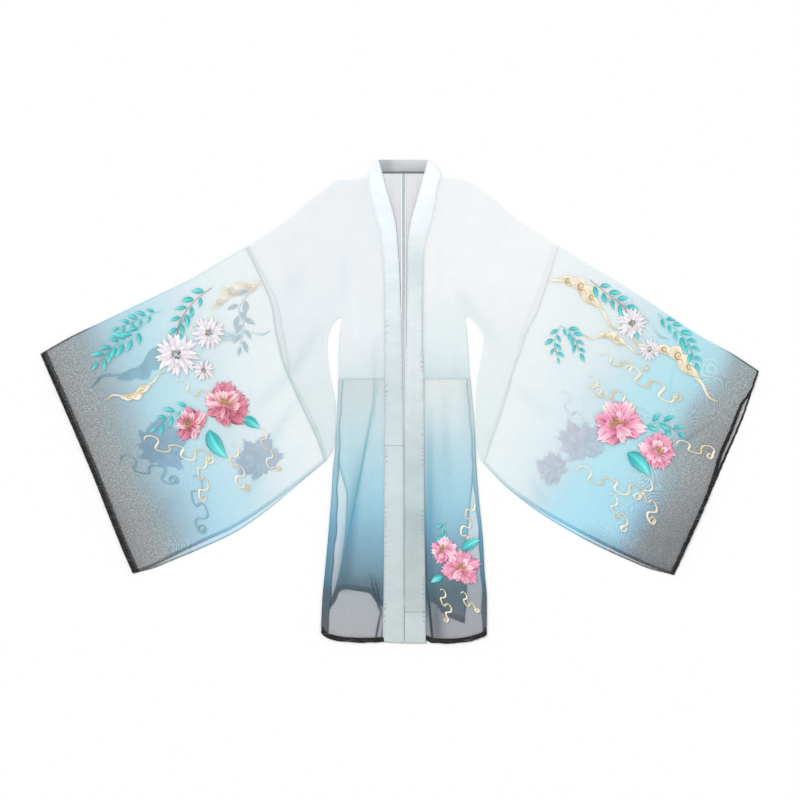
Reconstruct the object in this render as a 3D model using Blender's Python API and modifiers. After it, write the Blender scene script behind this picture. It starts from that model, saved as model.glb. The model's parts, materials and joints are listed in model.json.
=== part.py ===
"""An open-front sheer hanfu robe with large sleeves, laid flat with its front up.

The robe lies on z = 0 with its neck towards +Y and the viewer's right towards +X. Its
back panels rest on the surface, and its front panels, collar bands and hems lie on them.
Each piece of cloth that is cut and sewn is one object, a wall of cloth made from a sheet
of sections. "left" and "right" in the names are the viewer's, so left is towards -X.
"""

from collections import namedtuple
from math import ceil, exp, hypot, pi, sin

import bpy

# Driving sizes, in metres.
WALL = 0.0012
BAND_WALL = 0.0024
GAP = 0.0003
SEAM_INSET = 0.0002
HEM = 0.012
CORNER_IN = 0.0005
CORNER_DOWN = 0.008
CORNER_TURN = 0.003
CUFF_HEM = 0.014
CENTRE_SEAM = 0.006
WAIST = 0.056
NECK_TOP = 0.604
NECK_SEAM = 0.570
STEP = 0.060

# Heights of the undersides of the layers: the back panels, the front panels over them, and
# the front skirts where they lie over their own turned-under sides.
LOWER = 0.0
UPPER = LOWER + WALL + GAP
RAISED = UPPER + WALL + GAP
RISE_RUN = 0.034
TURN_ROOM = 0.004

# Facets across each kind of piece.
ACROSS_FRONT = 10
ACROSS_BACK = 4
ACROSS_ARCH = 10
ACROSS_BAND = 2

# A section of the collar band, from the neck down: its outer and its inner edge.
Band = namedtuple("Band", "outer_x outer_y inner_x inner_y")
# A section of a bodice beyond the neck: the shoulder line, and the sleeve's under edge.
Shoulder = namedtuple("Shoulder", "top_x top_y under_x under_y")
# Where a bodice section that starts at the band or centre seam ends: side seam, then underarm.
Side = namedtuple("Side", "x y")
# A section of the sleeve: top and bottom edge, and how far the front layer stops short there.
Sleeve = namedtuple("Sleeve", "top_x top_y bottom_x bottom_y short")
# A section of the front skirt: its height at the band, its side fold, and the turned-under width.
Skirt = namedtuple("Skirt", "band_y fold_x fold_y turn")
# A section of the back skirt: its height at the centre seam, and its side edge.
BackSkirt = namedtuple("BackSkirt", "centre_y side_x side_y")
# How far an edge bows off the straight line between its ends, at a fraction of its length.
Bow = namedtuple("Bow", "at off")
# A soft ridge of the front layer, from one end to the other, its half width and its height.
Ridge = namedtuple("Ridge", "start_x start_y end_x end_y reach height")

LEFT = {
    "side": "left",
    "out": -1,
    "band": (
        Band(-0.074, 0.588, -0.055, 0.604),
        Band(-0.083, 0.564, -0.046, 0.573),
        Band(-0.080, 0.529, -0.035, 0.529),
        Band(-0.070, 0.486, -0.022, 0.486),
        Band(-0.055, 0.434, -0.011, 0.434),
        Band(-0.047, 0.374, -0.006, 0.374),
        Band(-0.041, 0.279, -0.001, 0.279),
        Band(-0.040, 0.156, 0.003, 0.156),
        Band(-0.040, WAIST, 0.005, WAIST),
        Band(-0.040, -0.111, 0.007, -0.111),
        Band(-0.041, -0.246, 0.008, -0.246),
        Band(-0.042, -0.421, 0.008, -0.421),
        Band(-0.045, -0.601, 0.009, -0.604),
    ),
    "band_join": 9,
    "sides": (
        Side(-0.155, WAIST),
        Side(-0.154, 0.156),
        Side(-0.149, 0.189),
        Side(-0.146, 0.208),
        Side(-0.149, 0.211),
        Side(-0.151, 0.211),
        Side(-0.154, 0.210),
        Side(-0.156, 0.209),
    ),
    "shoulder": (
        Shoulder(-0.121, 0.557, -0.160, 0.206),
        Shoulder(-0.156, 0.555, -0.165, 0.201),
        Shoulder(-0.194, 0.529, -0.174, 0.186),
        Shoulder(-0.231, 0.501, -0.181, 0.164),
        Shoulder(-0.269, 0.469, -0.184, 0.136),
        Shoulder(-0.306, 0.441, -0.180, 0.089),
        Shoulder(-0.341, 0.417, -0.171, 0.039),
        Shoulder(-0.369, 0.399, -0.163, -0.011),
        Shoulder(-0.376, 0.393, -0.163, -0.091),
        Shoulder(-0.381, 0.390, -0.174, -0.129),
        Shoulder(-0.386, 0.386, -0.189, -0.149),
    ),
    "sleeve_seam": (
        Bow(0.25, -0.011),
        Bow(0.40, 0.004),
        Bow(0.55, 0.013),
        Bow(0.71, 0.008),
        Bow(0.91, -0.001),
    ),
    "sleeve": (
        Sleeve(-0.386, 0.386, -0.189, -0.149, 0.000),
        Sleeve(-0.451, 0.349, -0.264, -0.214, 0.005),
        Sleeve(-0.526, 0.305, -0.339, -0.276, 0.010),
        Sleeve(-0.601, 0.269, -0.414, -0.327, 0.013),
        Sleeve(-0.676, 0.233, -0.489, -0.363, 0.014),
        Sleeve(-0.751, 0.197, -0.564, -0.395, 0.010),
        Sleeve(-0.826, 0.161, -0.621, -0.418, 0.005),
        Sleeve(-0.900, 0.119, -0.669, -0.430, 0.000),
    ),
    "cuff_front": (Bow(0.5, -0.003), Bow(0.9, 0.001)),
    "cuff_back": (Bow(0.5, -0.003), Bow(0.9, 0.001)),
    "skirt": (
        Skirt(WAIST, -0.155, WAIST, 0.010),
        Skirt(-0.046, -0.160, -0.046, 0.010),
        Skirt(-0.111, -0.163, -0.111, 0.011),
        Skirt(-0.171, -0.169, -0.171, 0.013),
        Skirt(-0.246, -0.174, -0.246, 0.017),
        Skirt(-0.346, -0.182, -0.346, 0.019),
        Skirt(-0.421, -0.189, -0.421, 0.020),
        Skirt(-0.496, -0.196, -0.496, 0.018),
        Skirt(-0.589, -0.199, -0.559, 0.018),
    ),
    "front_hem": (Bow(0.46, 0.007), Bow(0.90, 0.012)),
    "back_skirt": (
        BackSkirt(WAIST, -0.155, WAIST),
        BackSkirt(-0.046, -0.156, -0.046),
        BackSkirt(-0.136, -0.156, -0.136),
        BackSkirt(-0.206, -0.141, -0.206),
        BackSkirt(-0.234, -0.135, -0.234),
        BackSkirt(-0.309, -0.137, -0.309),
        BackSkirt(-0.389, -0.146, -0.389),
        BackSkirt(-0.440, -0.159, -0.450),
        BackSkirt(-0.494, -0.177, -0.507),
    ),
    "back_hem": (
        Bow(0.27, 0.001),
        Bow(0.42, -0.031),
        Bow(0.62, -0.041),
        Bow(0.78, -0.047),
        Bow(0.90, -0.039),
    ),
}

RIGHT = {
    "side": "right",
    "out": 1,
    "band": (
        Band(0.089, 0.590, 0.069, 0.604),
        Band(0.101, 0.566, 0.060, 0.573),
        Band(0.092, 0.529, 0.048, 0.529),
        Band(0.085, 0.486, 0.036, 0.486),
        Band(0.073, 0.434, 0.023, 0.434),
        Band(0.059, 0.374, 0.018, 0.374),
        Band(0.056, 0.279, 0.017, 0.279),
        Band(0.055, 0.156, 0.015, 0.156),
        Band(0.059, WAIST, 0.012, WAIST),
        Band(0.060, -0.111, 0.010, -0.111),
        Band(0.060, -0.246, 0.010, -0.246),
        Band(0.062, -0.421, 0.010, -0.421),
        Band(0.063, -0.526, 0.0105, -0.526),
        Band(0.064, -0.604, 0.011, -0.604),
    ),
    "band_join": 12,
    "sides": (
        Side(0.174, WAIST),
        Side(0.167, 0.156),
        Side(0.164, 0.189),
        Side(0.161, 0.208),
        Side(0.164, 0.212),
        Side(0.168, 0.214),
        Side(0.171, 0.212),
        Side(0.174, 0.210),
    ),
    "shoulder": (
        Shoulder(0.129, 0.561, 0.177, 0.206),
        Shoulder(0.161, 0.556, 0.184, 0.199),
        Shoulder(0.199, 0.534, 0.194, 0.186),
        Shoulder(0.236, 0.504, 0.205, 0.164),
        Shoulder(0.274, 0.471, 0.204, 0.136),
        Shoulder(0.311, 0.445, 0.199, 0.099),
        Shoulder(0.349, 0.420, 0.191, 0.054),
        Shoulder(0.374, 0.403, 0.188, -0.009),
        Shoulder(0.384, 0.396, 0.188, -0.091),
        Shoulder(0.390, 0.393, 0.194, -0.136),
        Shoulder(0.394, 0.390, 0.209, -0.155),
    ),
    "sleeve_seam": (
        Bow(0.20, 0.004),
        Bow(0.30, 0.003),
        Bow(0.42, -0.005),
        Bow(0.56, -0.005),
        Bow(0.70, -0.001),
    ),
    "sleeve": (
        Sleeve(0.394, 0.390, 0.209, -0.155, 0.000),
        Sleeve(0.449, 0.355, 0.261, -0.210, 0.001),
        Sleeve(0.524, 0.311, 0.336, -0.270, 0.006),
        Sleeve(0.599, 0.264, 0.411, -0.317, 0.009),
        Sleeve(0.674, 0.213, 0.486, -0.358, 0.010),
        Sleeve(0.749, 0.164, 0.561, -0.393, 0.008),
        Sleeve(0.824, 0.123, 0.624, -0.419, 0.006),
        Sleeve(0.896, 0.076, 0.684, -0.434, 0.000),
    ),
    "cuff_front": (
        Bow(0.09, 0.000),
        Bow(0.18, -0.010),
        Bow(0.40, -0.007),
        Bow(0.50, -0.001),
        Bow(0.63, 0.004),
    ),
    "cuff_back": (Bow(0.10, 0.004), Bow(0.24, 0.009), Bow(0.38, 0.008), Bow(0.63, 0.006)),
    "skirt": (
        Skirt(WAIST, 0.174, WAIST, 0.010),
        Skirt(-0.046, 0.184, -0.046, 0.010),
        Skirt(-0.111, 0.187, -0.111, 0.010),
        Skirt(-0.171, 0.190, -0.171, 0.010),
        Skirt(-0.246, 0.196, -0.246, 0.009),
        Skirt(-0.346, 0.206, -0.346, 0.009),
        Skirt(-0.421, 0.210, -0.421, 0.010),
        Skirt(-0.496, 0.216, -0.496, 0.012),
        Skirt(-0.581, 0.216, -0.560, 0.010),
    ),
    "front_hem": (Bow(0.15, 0.014), Bow(0.59, 0.022), Bow(0.90, 0.016)),
    "back_skirt": (
        BackSkirt(WAIST, 0.174, WAIST),
        BackSkirt(-0.046, 0.181, -0.046),
        BackSkirt(-0.136, 0.184, -0.136),
        BackSkirt(-0.234, 0.177, -0.234),
        BackSkirt(-0.321, 0.169, -0.321),
        BackSkirt(-0.400, 0.166, -0.411),
        BackSkirt(-0.450, 0.166, -0.480),
        BackSkirt(-0.494, 0.161, -0.543),
    ),
    "back_hem": (Bow(0.37, -0.028), Bow(0.52, -0.025), Bow(0.70, -0.006)),
}

# The centre back seam of a back bodice, at the heights of its sections, then the neck seam.
CENTRE_HEIGHTS = (WAIST, 0.156, 0.279, 0.374, 0.470, NECK_SEAM)
NECK_SEAM_REACH = (0.040, 0.074)

# The largest folds: drags from the underarms over the sleeves, and those down the skirt.
RIDGES = (
    Ridge(-0.200, 0.150, -0.375, -0.160, 0.026, 0.0045),
    Ridge(-0.230, 0.020, -0.405, -0.250, 0.020, 0.0035),
    Ridge(-0.330, 0.300, -0.560, -0.020, 0.034, 0.0030),
    Ridge(0.215, 0.130, 0.400, -0.180, 0.028, 0.0050),
    Ridge(0.250, -0.040, 0.500, -0.290, 0.022, 0.0035),
    Ridge(0.560, 0.160, 0.740, -0.110, 0.030, 0.0035),
    Ridge(0.635, -0.100, 0.765, -0.030, 0.018, 0.0030),
    Ridge(-0.070, 0.040, -0.112, -0.330, 0.014, 0.0035),
    Ridge(0.095, -0.020, 0.085, -0.540, 0.012, 0.0025),
    Ridge(-0.090, 0.430, -0.115, 0.100, 0.024, 0.0025),
    Ridge(0.110, 0.430, 0.120, 0.080, 0.024, 0.0025),
)

# Each finish: base colour, roughness, how see-through it looks.
Finish = namedtuple("Finish", "red green blue roughness alpha")
FINISHES = {
    "bodice_organza": Finish(0.86, 0.91, 0.93, 0.45, 0.8),
    "skirt_organza": Finish(0.30, 0.55, 0.66, 0.45, 0.8),
    "sleeve_organza": Finish(0.48, 0.72, 0.82, 0.45, 0.8),
    "dark_hem": Finish(0.03, 0.03, 0.035, 0.55, 1.0),
    "collar_satin": Finish(0.66, 0.75, 0.77, 0.35, 1.0),
}


def finish(name):
    """The material of one finish, made once."""
    if name in bpy.data.materials:
        return bpy.data.materials[name]
    look = FINISHES[name]
    material = bpy.data.materials.new(name)
    material.use_nodes = True
    shader = material.node_tree.nodes["Principled BSDF"]
    shader.inputs["Base Color"].default_value = (look.red, look.green, look.blue, 1.0)
    shader.inputs["Roughness"].default_value = look.roughness
    shader.inputs["Metallic"].default_value = 0.0
    shader.inputs["Alpha"].default_value = look.alpha
    return material


def between(first, last, fraction):
    """The point this fraction of the way along a straight line."""
    return tuple(a + (b - a) * fraction for a, b in zip(first, last))


def moved_towards(point, other, distance):
    """The point moved this far towards another."""
    return between(point, other, distance / hypot(other[0] - point[0], other[1] - point[1]))


def smooth(value):
    """0 below 0, 1 above 1, and a soft step between."""
    value = min(max(value, 0.0), 1.0)
    return value * value * (3.0 - 2.0 * value)


def drape(x, y):
    """How far the folds of the front layer lift it at a point."""
    lift = 0.0
    for ridge in RIDGES:
        run_x, run_y = ridge.end_x - ridge.start_x, ridge.end_y - ridge.start_y
        length = hypot(run_x, run_y)
        along = ((x - ridge.start_x) * run_x + (y - ridge.start_y) * run_y) / length**2
        aside = ((x - ridge.start_x) * run_y - (y - ridge.start_y) * run_x) / length
        if 0.0 < along < 1.0:
            lift += ridge.height * sin(pi * along) * exp(-((aside / ridge.reach) ** 2))
    return lift


def bow_at(bows, fraction):
    """The offset of a bowed edge at a fraction of its length, 0 at both ends."""
    knots = (Bow(0.0, 0.0), *bows, Bow(1.0, 0.0))
    for low, high in zip(knots, knots[1:]):
        if fraction <= high.at:
            return low.off + (high.off - low.off) * (fraction - low.at) / (high.at - low.at)
    return 0.0


def rows_between(sections, across, start_bow=(), end_bow=(), out=1, fade=4):
    """Rows of points over a panel: straight sections, whose first and last may bow.

    Each section is a pair of points. Long steps are divided, and a bow is passed on to the
    next rows, ever fainter. A positive bow is off to the side of `out`, seen down the row.
    """
    pairs = [sections[0]]
    for last, new in zip(sections, sections[1:]):
        step = max(hypot(b[0] - a[0], b[1] - a[1]) for a, b in zip(last, new))
        count = ceil(step / STEP)
        pairs += [[between(a, b, k / count) for a, b in zip(last, new)] for k in range(1, count + 1)]
    rows = []
    for index, (near, far) in enumerate(pairs):
        length = hypot(far[0] - near[0], far[1] - near[1])
        side_x, side_y = -(far[1] - near[1]) / length * out, (far[0] - near[0]) / length * out
        from_start = max(0.0, 1.0 - index / fade)
        from_end = max(0.0, 1.0 - (len(pairs) - 1 - index) / fade)
        row = []
        for place in range(across + 1):
            fraction = place / across
            off = bow_at(start_bow, fraction) * from_start + bow_at(end_bow, fraction) * from_end
            x, y = between(near, far, fraction)
            row.append((x + side_x * off, y + side_y * off))
        rows.append(row)
    return rows


def inset(rows, amount=SEAM_INSET):
    """The rows with their border drawn in, so that a neighbour on the same line stays clear."""
    rows = [
        [moved_towards(row[0], row[1], amount), *row[1:-1], moved_towards(row[-1], row[-2], amount)]
        for row in rows
    ]
    first = [moved_towards(point, other, amount) for point, other in zip(rows[0], rows[1])]
    last = [moved_towards(point, other, amount) for point, other in zip(rows[-1], rows[-2])]
    return [first, *rows[1:-1], last]


def make_sheet(name, rows, material, wall=WALL):
    """A named wall of cloth: the rows of (x, y, z) joined as a sheet, thickened upwards."""
    width = len(rows[0])
    corners = [point for row in rows for point in row]
    faces = []
    for row in range(len(rows) - 1):
        for place in range(width - 1):
            first = row * width + place
            faces.append((first, first + 1, first + 1 + width, first + width))
    (ax, ay, _), (bx, by, _), _, (dx, dy, _) = (corners[k] for k in faces[0])
    if (bx - ax) * (dy - ay) - (by - ay) * (dx - ax) < 0:
        faces = [face[::-1] for face in faces]
    mesh = bpy.data.meshes.new(name)
    mesh.from_pydata(corners, [], faces)
    mesh.materials.append(finish(material))
    piece = bpy.data.objects.new(name, mesh)
    ROBE.objects.link(piece)
    piece.parent = ROBE_FRAME
    cloth = piece.modifiers.new("cloth wall", "SOLIDIFY")
    cloth.thickness = wall
    cloth.offset = 1.0
    cloth.use_even_offset = True
    mesh.shade_smooth()
    mesh.set_sharp_from_angle(angle=pi / 5)
    return piece


def flat(rows, height=LOWER):
    return [[(x, y, height) for x, y in row] for row in rows]


def draped(rows, height=UPPER):
    return [[(x, y, height + drape(x, y)) for x, y in row] for row in rows]


def band_edge(band, height):
    """Where the outer edge of the band is at a height."""
    for high, low in zip(band, band[1:]):
        if height >= low.outer_y:
            part = (high.outer_y - height) / (high.outer_y - low.outer_y)
            return high.outer_x + (low.outer_x - high.outer_x) * part
    return band[-1].outer_x


def make_bodices(cut):
    """Front and back bodice, each with its upper sleeve, from the waist seam to the sleeve seam."""
    neck_to_waist = [(row.outer_x, row.outer_y) for row in cut["band"][1:9]]
    band_side = list(reversed(neck_to_waist))
    centre_side = [(CENTRE_SEAM, height) for height in CENTRE_HEIGHTS]
    centre_side += [(CENTRE_SEAM + reach * cut["out"], NECK_SEAM) for reach in NECK_SEAM_REACH]
    shoulder = [((row.top_x, row.top_y), (row.under_x, row.under_y)) for row in cut["shoulder"]]
    for name, near, across in (
        ("front_bodice", band_side, ACROSS_FRONT),
        ("back_bodice", centre_side, ACROSS_BACK),
    ):
        sections = [(point, tuple(side)) for point, side in zip(near, cut["sides"])] + shoulder
        rows = inset(rows_between(sections, across, end_bow=cut["sleeve_seam"], out=cut["out"]))
        rows = draped(rows) if name == "front_bodice" else flat(rows)
        make_sheet(f"{name}_{cut['side']}", rows, "bodice_organza")


def make_sleeves(cut):
    """Back and front of the sleeve and of its cuff hem. The front stops short along the bottom."""
    for layer, across in (("back", ACROSS_BACK), ("front", ACROSS_FRONT)):
        sections = []
        for row in cut["sleeve"]:
            top, bottom = (row.top_x, row.top_y), (row.bottom_x, row.bottom_y)
            short = row.short / hypot(top[0] - bottom[0], top[1] - bottom[1])
            sections.append((top, between(bottom, top, short if layer == "front" else 0.0)))
        hem_seam = tuple(moved_towards(a, b, CUFF_HEM) for a, b in zip(sections[-1], sections[-2]))
        cuff = cut[f"cuff_{layer}"]
        panel = rows_between(sections[:-1] + [hem_seam], across, cut["sleeve_seam"], cuff, cut["out"])
        hem = [panel[-1], rows_between([hem_seam, sections[-1]], across, (), cuff, cut["out"])[-1]]
        place = flat if layer == "back" else draped
        make_sheet(f"sleeve_{layer}_{cut['side']}", place(inset(panel)), "sleeve_organza")
        make_sheet(f"cuff_hem_{layer}_{cut['side']}", place(inset(hem)), "dark_hem")


def moved_down(row, distance):
    """A row of points moved square to its own line, to its -Y side, and its ends straight down."""
    moved = [(row[0][0], row[0][1] - distance)]
    for before, (x, y), after in zip(row, row[1:], row[2:]):
        run_x, run_y = after[0] - before[0], after[1] - before[1]
        scale = distance / hypot(run_x, run_y) * (1 if run_x > 0 else -1)
        moved.append((x + run_y * scale, y - run_x * scale))
    return [*moved, (row[-1][0], row[-1][1] - distance)]


def make_back_skirt(cut):
    """The back skirt from the waist to its arched hem, and the hem band."""
    sections = [((CENTRE_SEAM, row.centre_y), (row.side_x, row.side_y)) for row in cut["back_skirt"]]
    rows = rows_between(sections, ACROSS_ARCH, end_bow=cut["back_hem"], out=-cut["out"])
    hem = [rows[-1], moved_down(rows[-1], HEM)]
    make_sheet(f"back_skirt_{cut['side']}", flat(inset(rows)), "skirt_organza")
    make_sheet(f"hem_back_{cut['side']}", flat(inset(hem)), "dark_hem")


def front_skirt_height(x, y, fold_x, turn, out):
    """Underside of the front skirt, which rises over its own turned-under side."""
    inside = (fold_x - x) * out
    rise = smooth((turn + TURN_ROOM + RISE_RUN - inside) / RISE_RUN)
    return UPPER + (RAISED - UPPER) * rise + drape(x, y)


def make_front_skirt(cut):
    """The front skirt with its side folded under it, and the front hem band."""
    out, band = cut["out"], cut["band"]
    sections = [
        ((band_edge(band, row.band_y), row.band_y), (row.fold_x, row.fold_y)) for row in cut["skirt"]
    ]
    panel = rows_between(sections, ACROSS_FRONT, end_bow=cut["front_hem"], out=-out)
    turns = [row.turn for row in cut["skirt"]]
    heights = [row.fold_y for row in cut["skirt"]]
    rows = []
    for line in panel:
        fold_x, fold_y = line[-1]
        turn = turns[-1]
        for index, (high, low) in enumerate(zip(heights, heights[1:])):
            if fold_y >= low:
                part = (high - fold_y) / (high - low)
                turn = turns[index] + (turns[index + 1] - turns[index]) * part
                break
        # The last facets before the fold lie at the step up over the turned-under side.
        top = line[:-2] + [(fold_x - (turn + TURN_ROOM) * out, line[-2][1]), line[-1]]
        front = [(x, y, front_skirt_height(x, y, fold_x, turn, out)) for x, y in top]
        lift = front[-1][2]
        bend = fold_x - (WALL + GAP / 2) * out
        clear_y = fold_y - 2 * SEAM_INSET
        hem_top = front[:-1] + [(bend, clear_y, lift), (fold_x, clear_y, lift)]
        rows.append(
            front[:-1]
            + [
                (bend, fold_y, lift),
                (fold_x - WALL * out, fold_y, lift - GAP / 2),
                (bend, fold_y, lift - GAP),
                (fold_x - turn * out, fold_y, lift - GAP),
            ]
        )
    flat_rows = inset([[(x, y) for x, y, _ in row] for row in rows])
    rows = [[(x, y, z) for (x, y), (_, _, z) in zip(clear, row)] for clear, row in zip(flat_rows, rows)]
    make_sheet(f"front_skirt_{cut['side']}", rows, "skirt_organza")

    top = [(x, y) for x, y, _ in hem_top]
    low = moved_down(top, HEM)
    # The hem turns the corner of the robe inside its side fold.
    low[-2] = (top[-2][0], top[-2][1] - CORNER_DOWN - CORNER_TURN)
    low[-1] = (top[-1][0] - CORNER_IN * out, top[-1][1] - CORNER_DOWN)
    strip = inset([top, low])
    levels = [z for _, _, z in hem_top]
    hem = [[(x, y, z) for (x, y), z in zip(row, levels)] for row in strip]
    make_sheet(f"hem_front_{cut['side']}", hem, "dark_hem")


def make_collar(cut):
    """The front band down one edge of the robe, pieced lower down, folded double."""
    band, join = cut["band"], cut["band_join"]
    for name, part in (("band", band[: join + 1]), ("band_lower", band[join:])):
        sections = [((row.outer_x, row.outer_y), (row.inner_x, row.inner_y)) for row in part]
        rows = flat(inset(rows_between(sections, ACROSS_BAND)), UPPER)
        make_sheet(f"{name}_{cut['side']}", rows, "collar_satin", BAND_WALL)


def make_back_neck():
    """The back of the collar, whose ends lie under the tops of the front bands."""
    (left_top, left_low), (right_top, right_low) = LEFT["band"][:2], RIGHT["band"][:2]
    sections = (
        ((left_top.inner_x, NECK_TOP), (left_low.outer_x + 0.003, NECK_SEAM)),
        ((right_top.inner_x, NECK_TOP), (right_low.outer_x - 0.003, NECK_SEAM)),
    )
    make_sheet("collar_back", flat(inset(rows_between(sections, ACROSS_BAND))), "collar_satin")


for leftover in list(bpy.data.objects):
    bpy.data.objects.remove(leftover)

ROBE = bpy.data.collections.new("hanfu_robe")
bpy.context.scene.collection.children.link(ROBE)
ROBE_FRAME = bpy.data.objects.new("robe_frame", None)
ROBE.objects.link(ROBE_FRAME)

for robe_side in (LEFT, RIGHT):
    make_bodices(robe_side)
    make_sleeves(robe_side)
    make_back_skirt(robe_side)
    make_front_skirt(robe_side)
    make_collar(robe_side)
make_back_neck()
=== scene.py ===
import json
from math import ceil, cos, hypot, pi, radians, sin, tau

import bpy
import numpy as np
from mathutils.bvhtree import BVHTree
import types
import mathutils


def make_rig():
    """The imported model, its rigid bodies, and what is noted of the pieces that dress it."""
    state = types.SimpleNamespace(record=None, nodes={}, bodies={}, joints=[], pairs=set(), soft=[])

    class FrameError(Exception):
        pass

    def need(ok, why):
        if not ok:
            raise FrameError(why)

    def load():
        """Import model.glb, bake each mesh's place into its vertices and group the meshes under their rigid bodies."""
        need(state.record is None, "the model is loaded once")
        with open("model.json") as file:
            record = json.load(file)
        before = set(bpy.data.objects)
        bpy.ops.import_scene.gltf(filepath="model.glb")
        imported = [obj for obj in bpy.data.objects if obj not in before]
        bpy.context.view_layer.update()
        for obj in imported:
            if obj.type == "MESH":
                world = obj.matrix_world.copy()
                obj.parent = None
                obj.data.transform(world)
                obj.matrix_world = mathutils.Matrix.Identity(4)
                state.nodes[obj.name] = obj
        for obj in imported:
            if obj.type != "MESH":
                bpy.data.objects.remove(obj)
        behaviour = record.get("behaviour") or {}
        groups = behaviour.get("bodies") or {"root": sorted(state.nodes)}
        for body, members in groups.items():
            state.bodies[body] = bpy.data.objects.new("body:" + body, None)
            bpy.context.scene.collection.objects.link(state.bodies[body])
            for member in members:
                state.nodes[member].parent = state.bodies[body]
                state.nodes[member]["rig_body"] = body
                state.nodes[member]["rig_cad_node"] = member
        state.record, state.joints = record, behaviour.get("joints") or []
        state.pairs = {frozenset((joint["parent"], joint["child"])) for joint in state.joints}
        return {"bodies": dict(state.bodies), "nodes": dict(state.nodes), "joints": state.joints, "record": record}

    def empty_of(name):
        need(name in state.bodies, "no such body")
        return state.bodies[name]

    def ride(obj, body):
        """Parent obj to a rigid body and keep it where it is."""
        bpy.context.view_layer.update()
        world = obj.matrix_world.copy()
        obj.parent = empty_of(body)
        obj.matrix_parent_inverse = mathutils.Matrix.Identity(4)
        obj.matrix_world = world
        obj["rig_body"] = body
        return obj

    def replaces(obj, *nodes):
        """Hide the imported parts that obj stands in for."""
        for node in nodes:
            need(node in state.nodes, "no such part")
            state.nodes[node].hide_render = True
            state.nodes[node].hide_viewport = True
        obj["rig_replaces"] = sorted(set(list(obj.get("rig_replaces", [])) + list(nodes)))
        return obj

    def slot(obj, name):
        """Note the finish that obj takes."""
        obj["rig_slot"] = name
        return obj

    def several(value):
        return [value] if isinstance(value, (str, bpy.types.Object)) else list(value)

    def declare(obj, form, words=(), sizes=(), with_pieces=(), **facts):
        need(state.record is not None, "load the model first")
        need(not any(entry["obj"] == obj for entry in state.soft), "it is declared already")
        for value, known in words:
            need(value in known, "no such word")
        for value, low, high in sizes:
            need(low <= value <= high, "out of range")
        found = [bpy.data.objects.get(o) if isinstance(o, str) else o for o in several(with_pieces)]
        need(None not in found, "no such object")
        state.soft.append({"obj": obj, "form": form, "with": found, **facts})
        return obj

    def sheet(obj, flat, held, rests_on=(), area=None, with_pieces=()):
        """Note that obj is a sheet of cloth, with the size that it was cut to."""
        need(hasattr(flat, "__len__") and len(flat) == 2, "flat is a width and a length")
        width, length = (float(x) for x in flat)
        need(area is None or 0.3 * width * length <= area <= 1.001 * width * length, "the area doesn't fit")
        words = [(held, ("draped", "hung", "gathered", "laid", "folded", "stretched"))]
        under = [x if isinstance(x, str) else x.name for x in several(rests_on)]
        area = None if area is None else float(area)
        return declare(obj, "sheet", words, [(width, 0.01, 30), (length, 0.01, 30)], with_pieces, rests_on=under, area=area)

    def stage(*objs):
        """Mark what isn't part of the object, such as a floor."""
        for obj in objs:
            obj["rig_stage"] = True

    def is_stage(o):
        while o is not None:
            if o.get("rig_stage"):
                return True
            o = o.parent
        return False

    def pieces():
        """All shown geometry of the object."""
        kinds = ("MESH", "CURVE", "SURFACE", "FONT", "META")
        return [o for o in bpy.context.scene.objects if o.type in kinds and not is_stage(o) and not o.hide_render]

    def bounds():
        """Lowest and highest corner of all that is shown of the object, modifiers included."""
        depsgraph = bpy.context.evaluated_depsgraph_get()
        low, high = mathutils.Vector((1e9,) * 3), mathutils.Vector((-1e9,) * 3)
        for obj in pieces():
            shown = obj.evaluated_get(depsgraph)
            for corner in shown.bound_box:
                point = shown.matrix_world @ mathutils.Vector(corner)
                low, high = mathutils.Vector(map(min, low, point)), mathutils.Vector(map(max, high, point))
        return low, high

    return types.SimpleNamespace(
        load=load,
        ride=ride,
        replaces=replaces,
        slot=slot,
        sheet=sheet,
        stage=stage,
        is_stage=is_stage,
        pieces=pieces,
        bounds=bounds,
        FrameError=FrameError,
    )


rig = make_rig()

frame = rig.load()
cad_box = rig.bounds()

# ---------------------------------------------------------------------------------------
# The bodices: a back and a front panel of sheer organza on each side, cut in one with the
# upper sleeves. They are sewn at the shoulders, under the arms, down the centre back and at
# the waist, and the fronts are caught inside the collar bands.

WAIST = 0.056
NECK_SEAM = 0.570
CENTRE_SEAM = 0.006
BACK_LEVEL = 0.0007
FRONT_LEVEL = 0.0022
LIFT = 0.0016
LIFT_REACH = 0.028
LEAST_RISE = 0.0003
RIPPLE = 0.0006
FOLD_FADE = 0.006
CAUGHT_IN_BAND = 0.005
CLOTH_STEP = 0.0046
OUT = {"left": -1, "right": 1}

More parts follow.
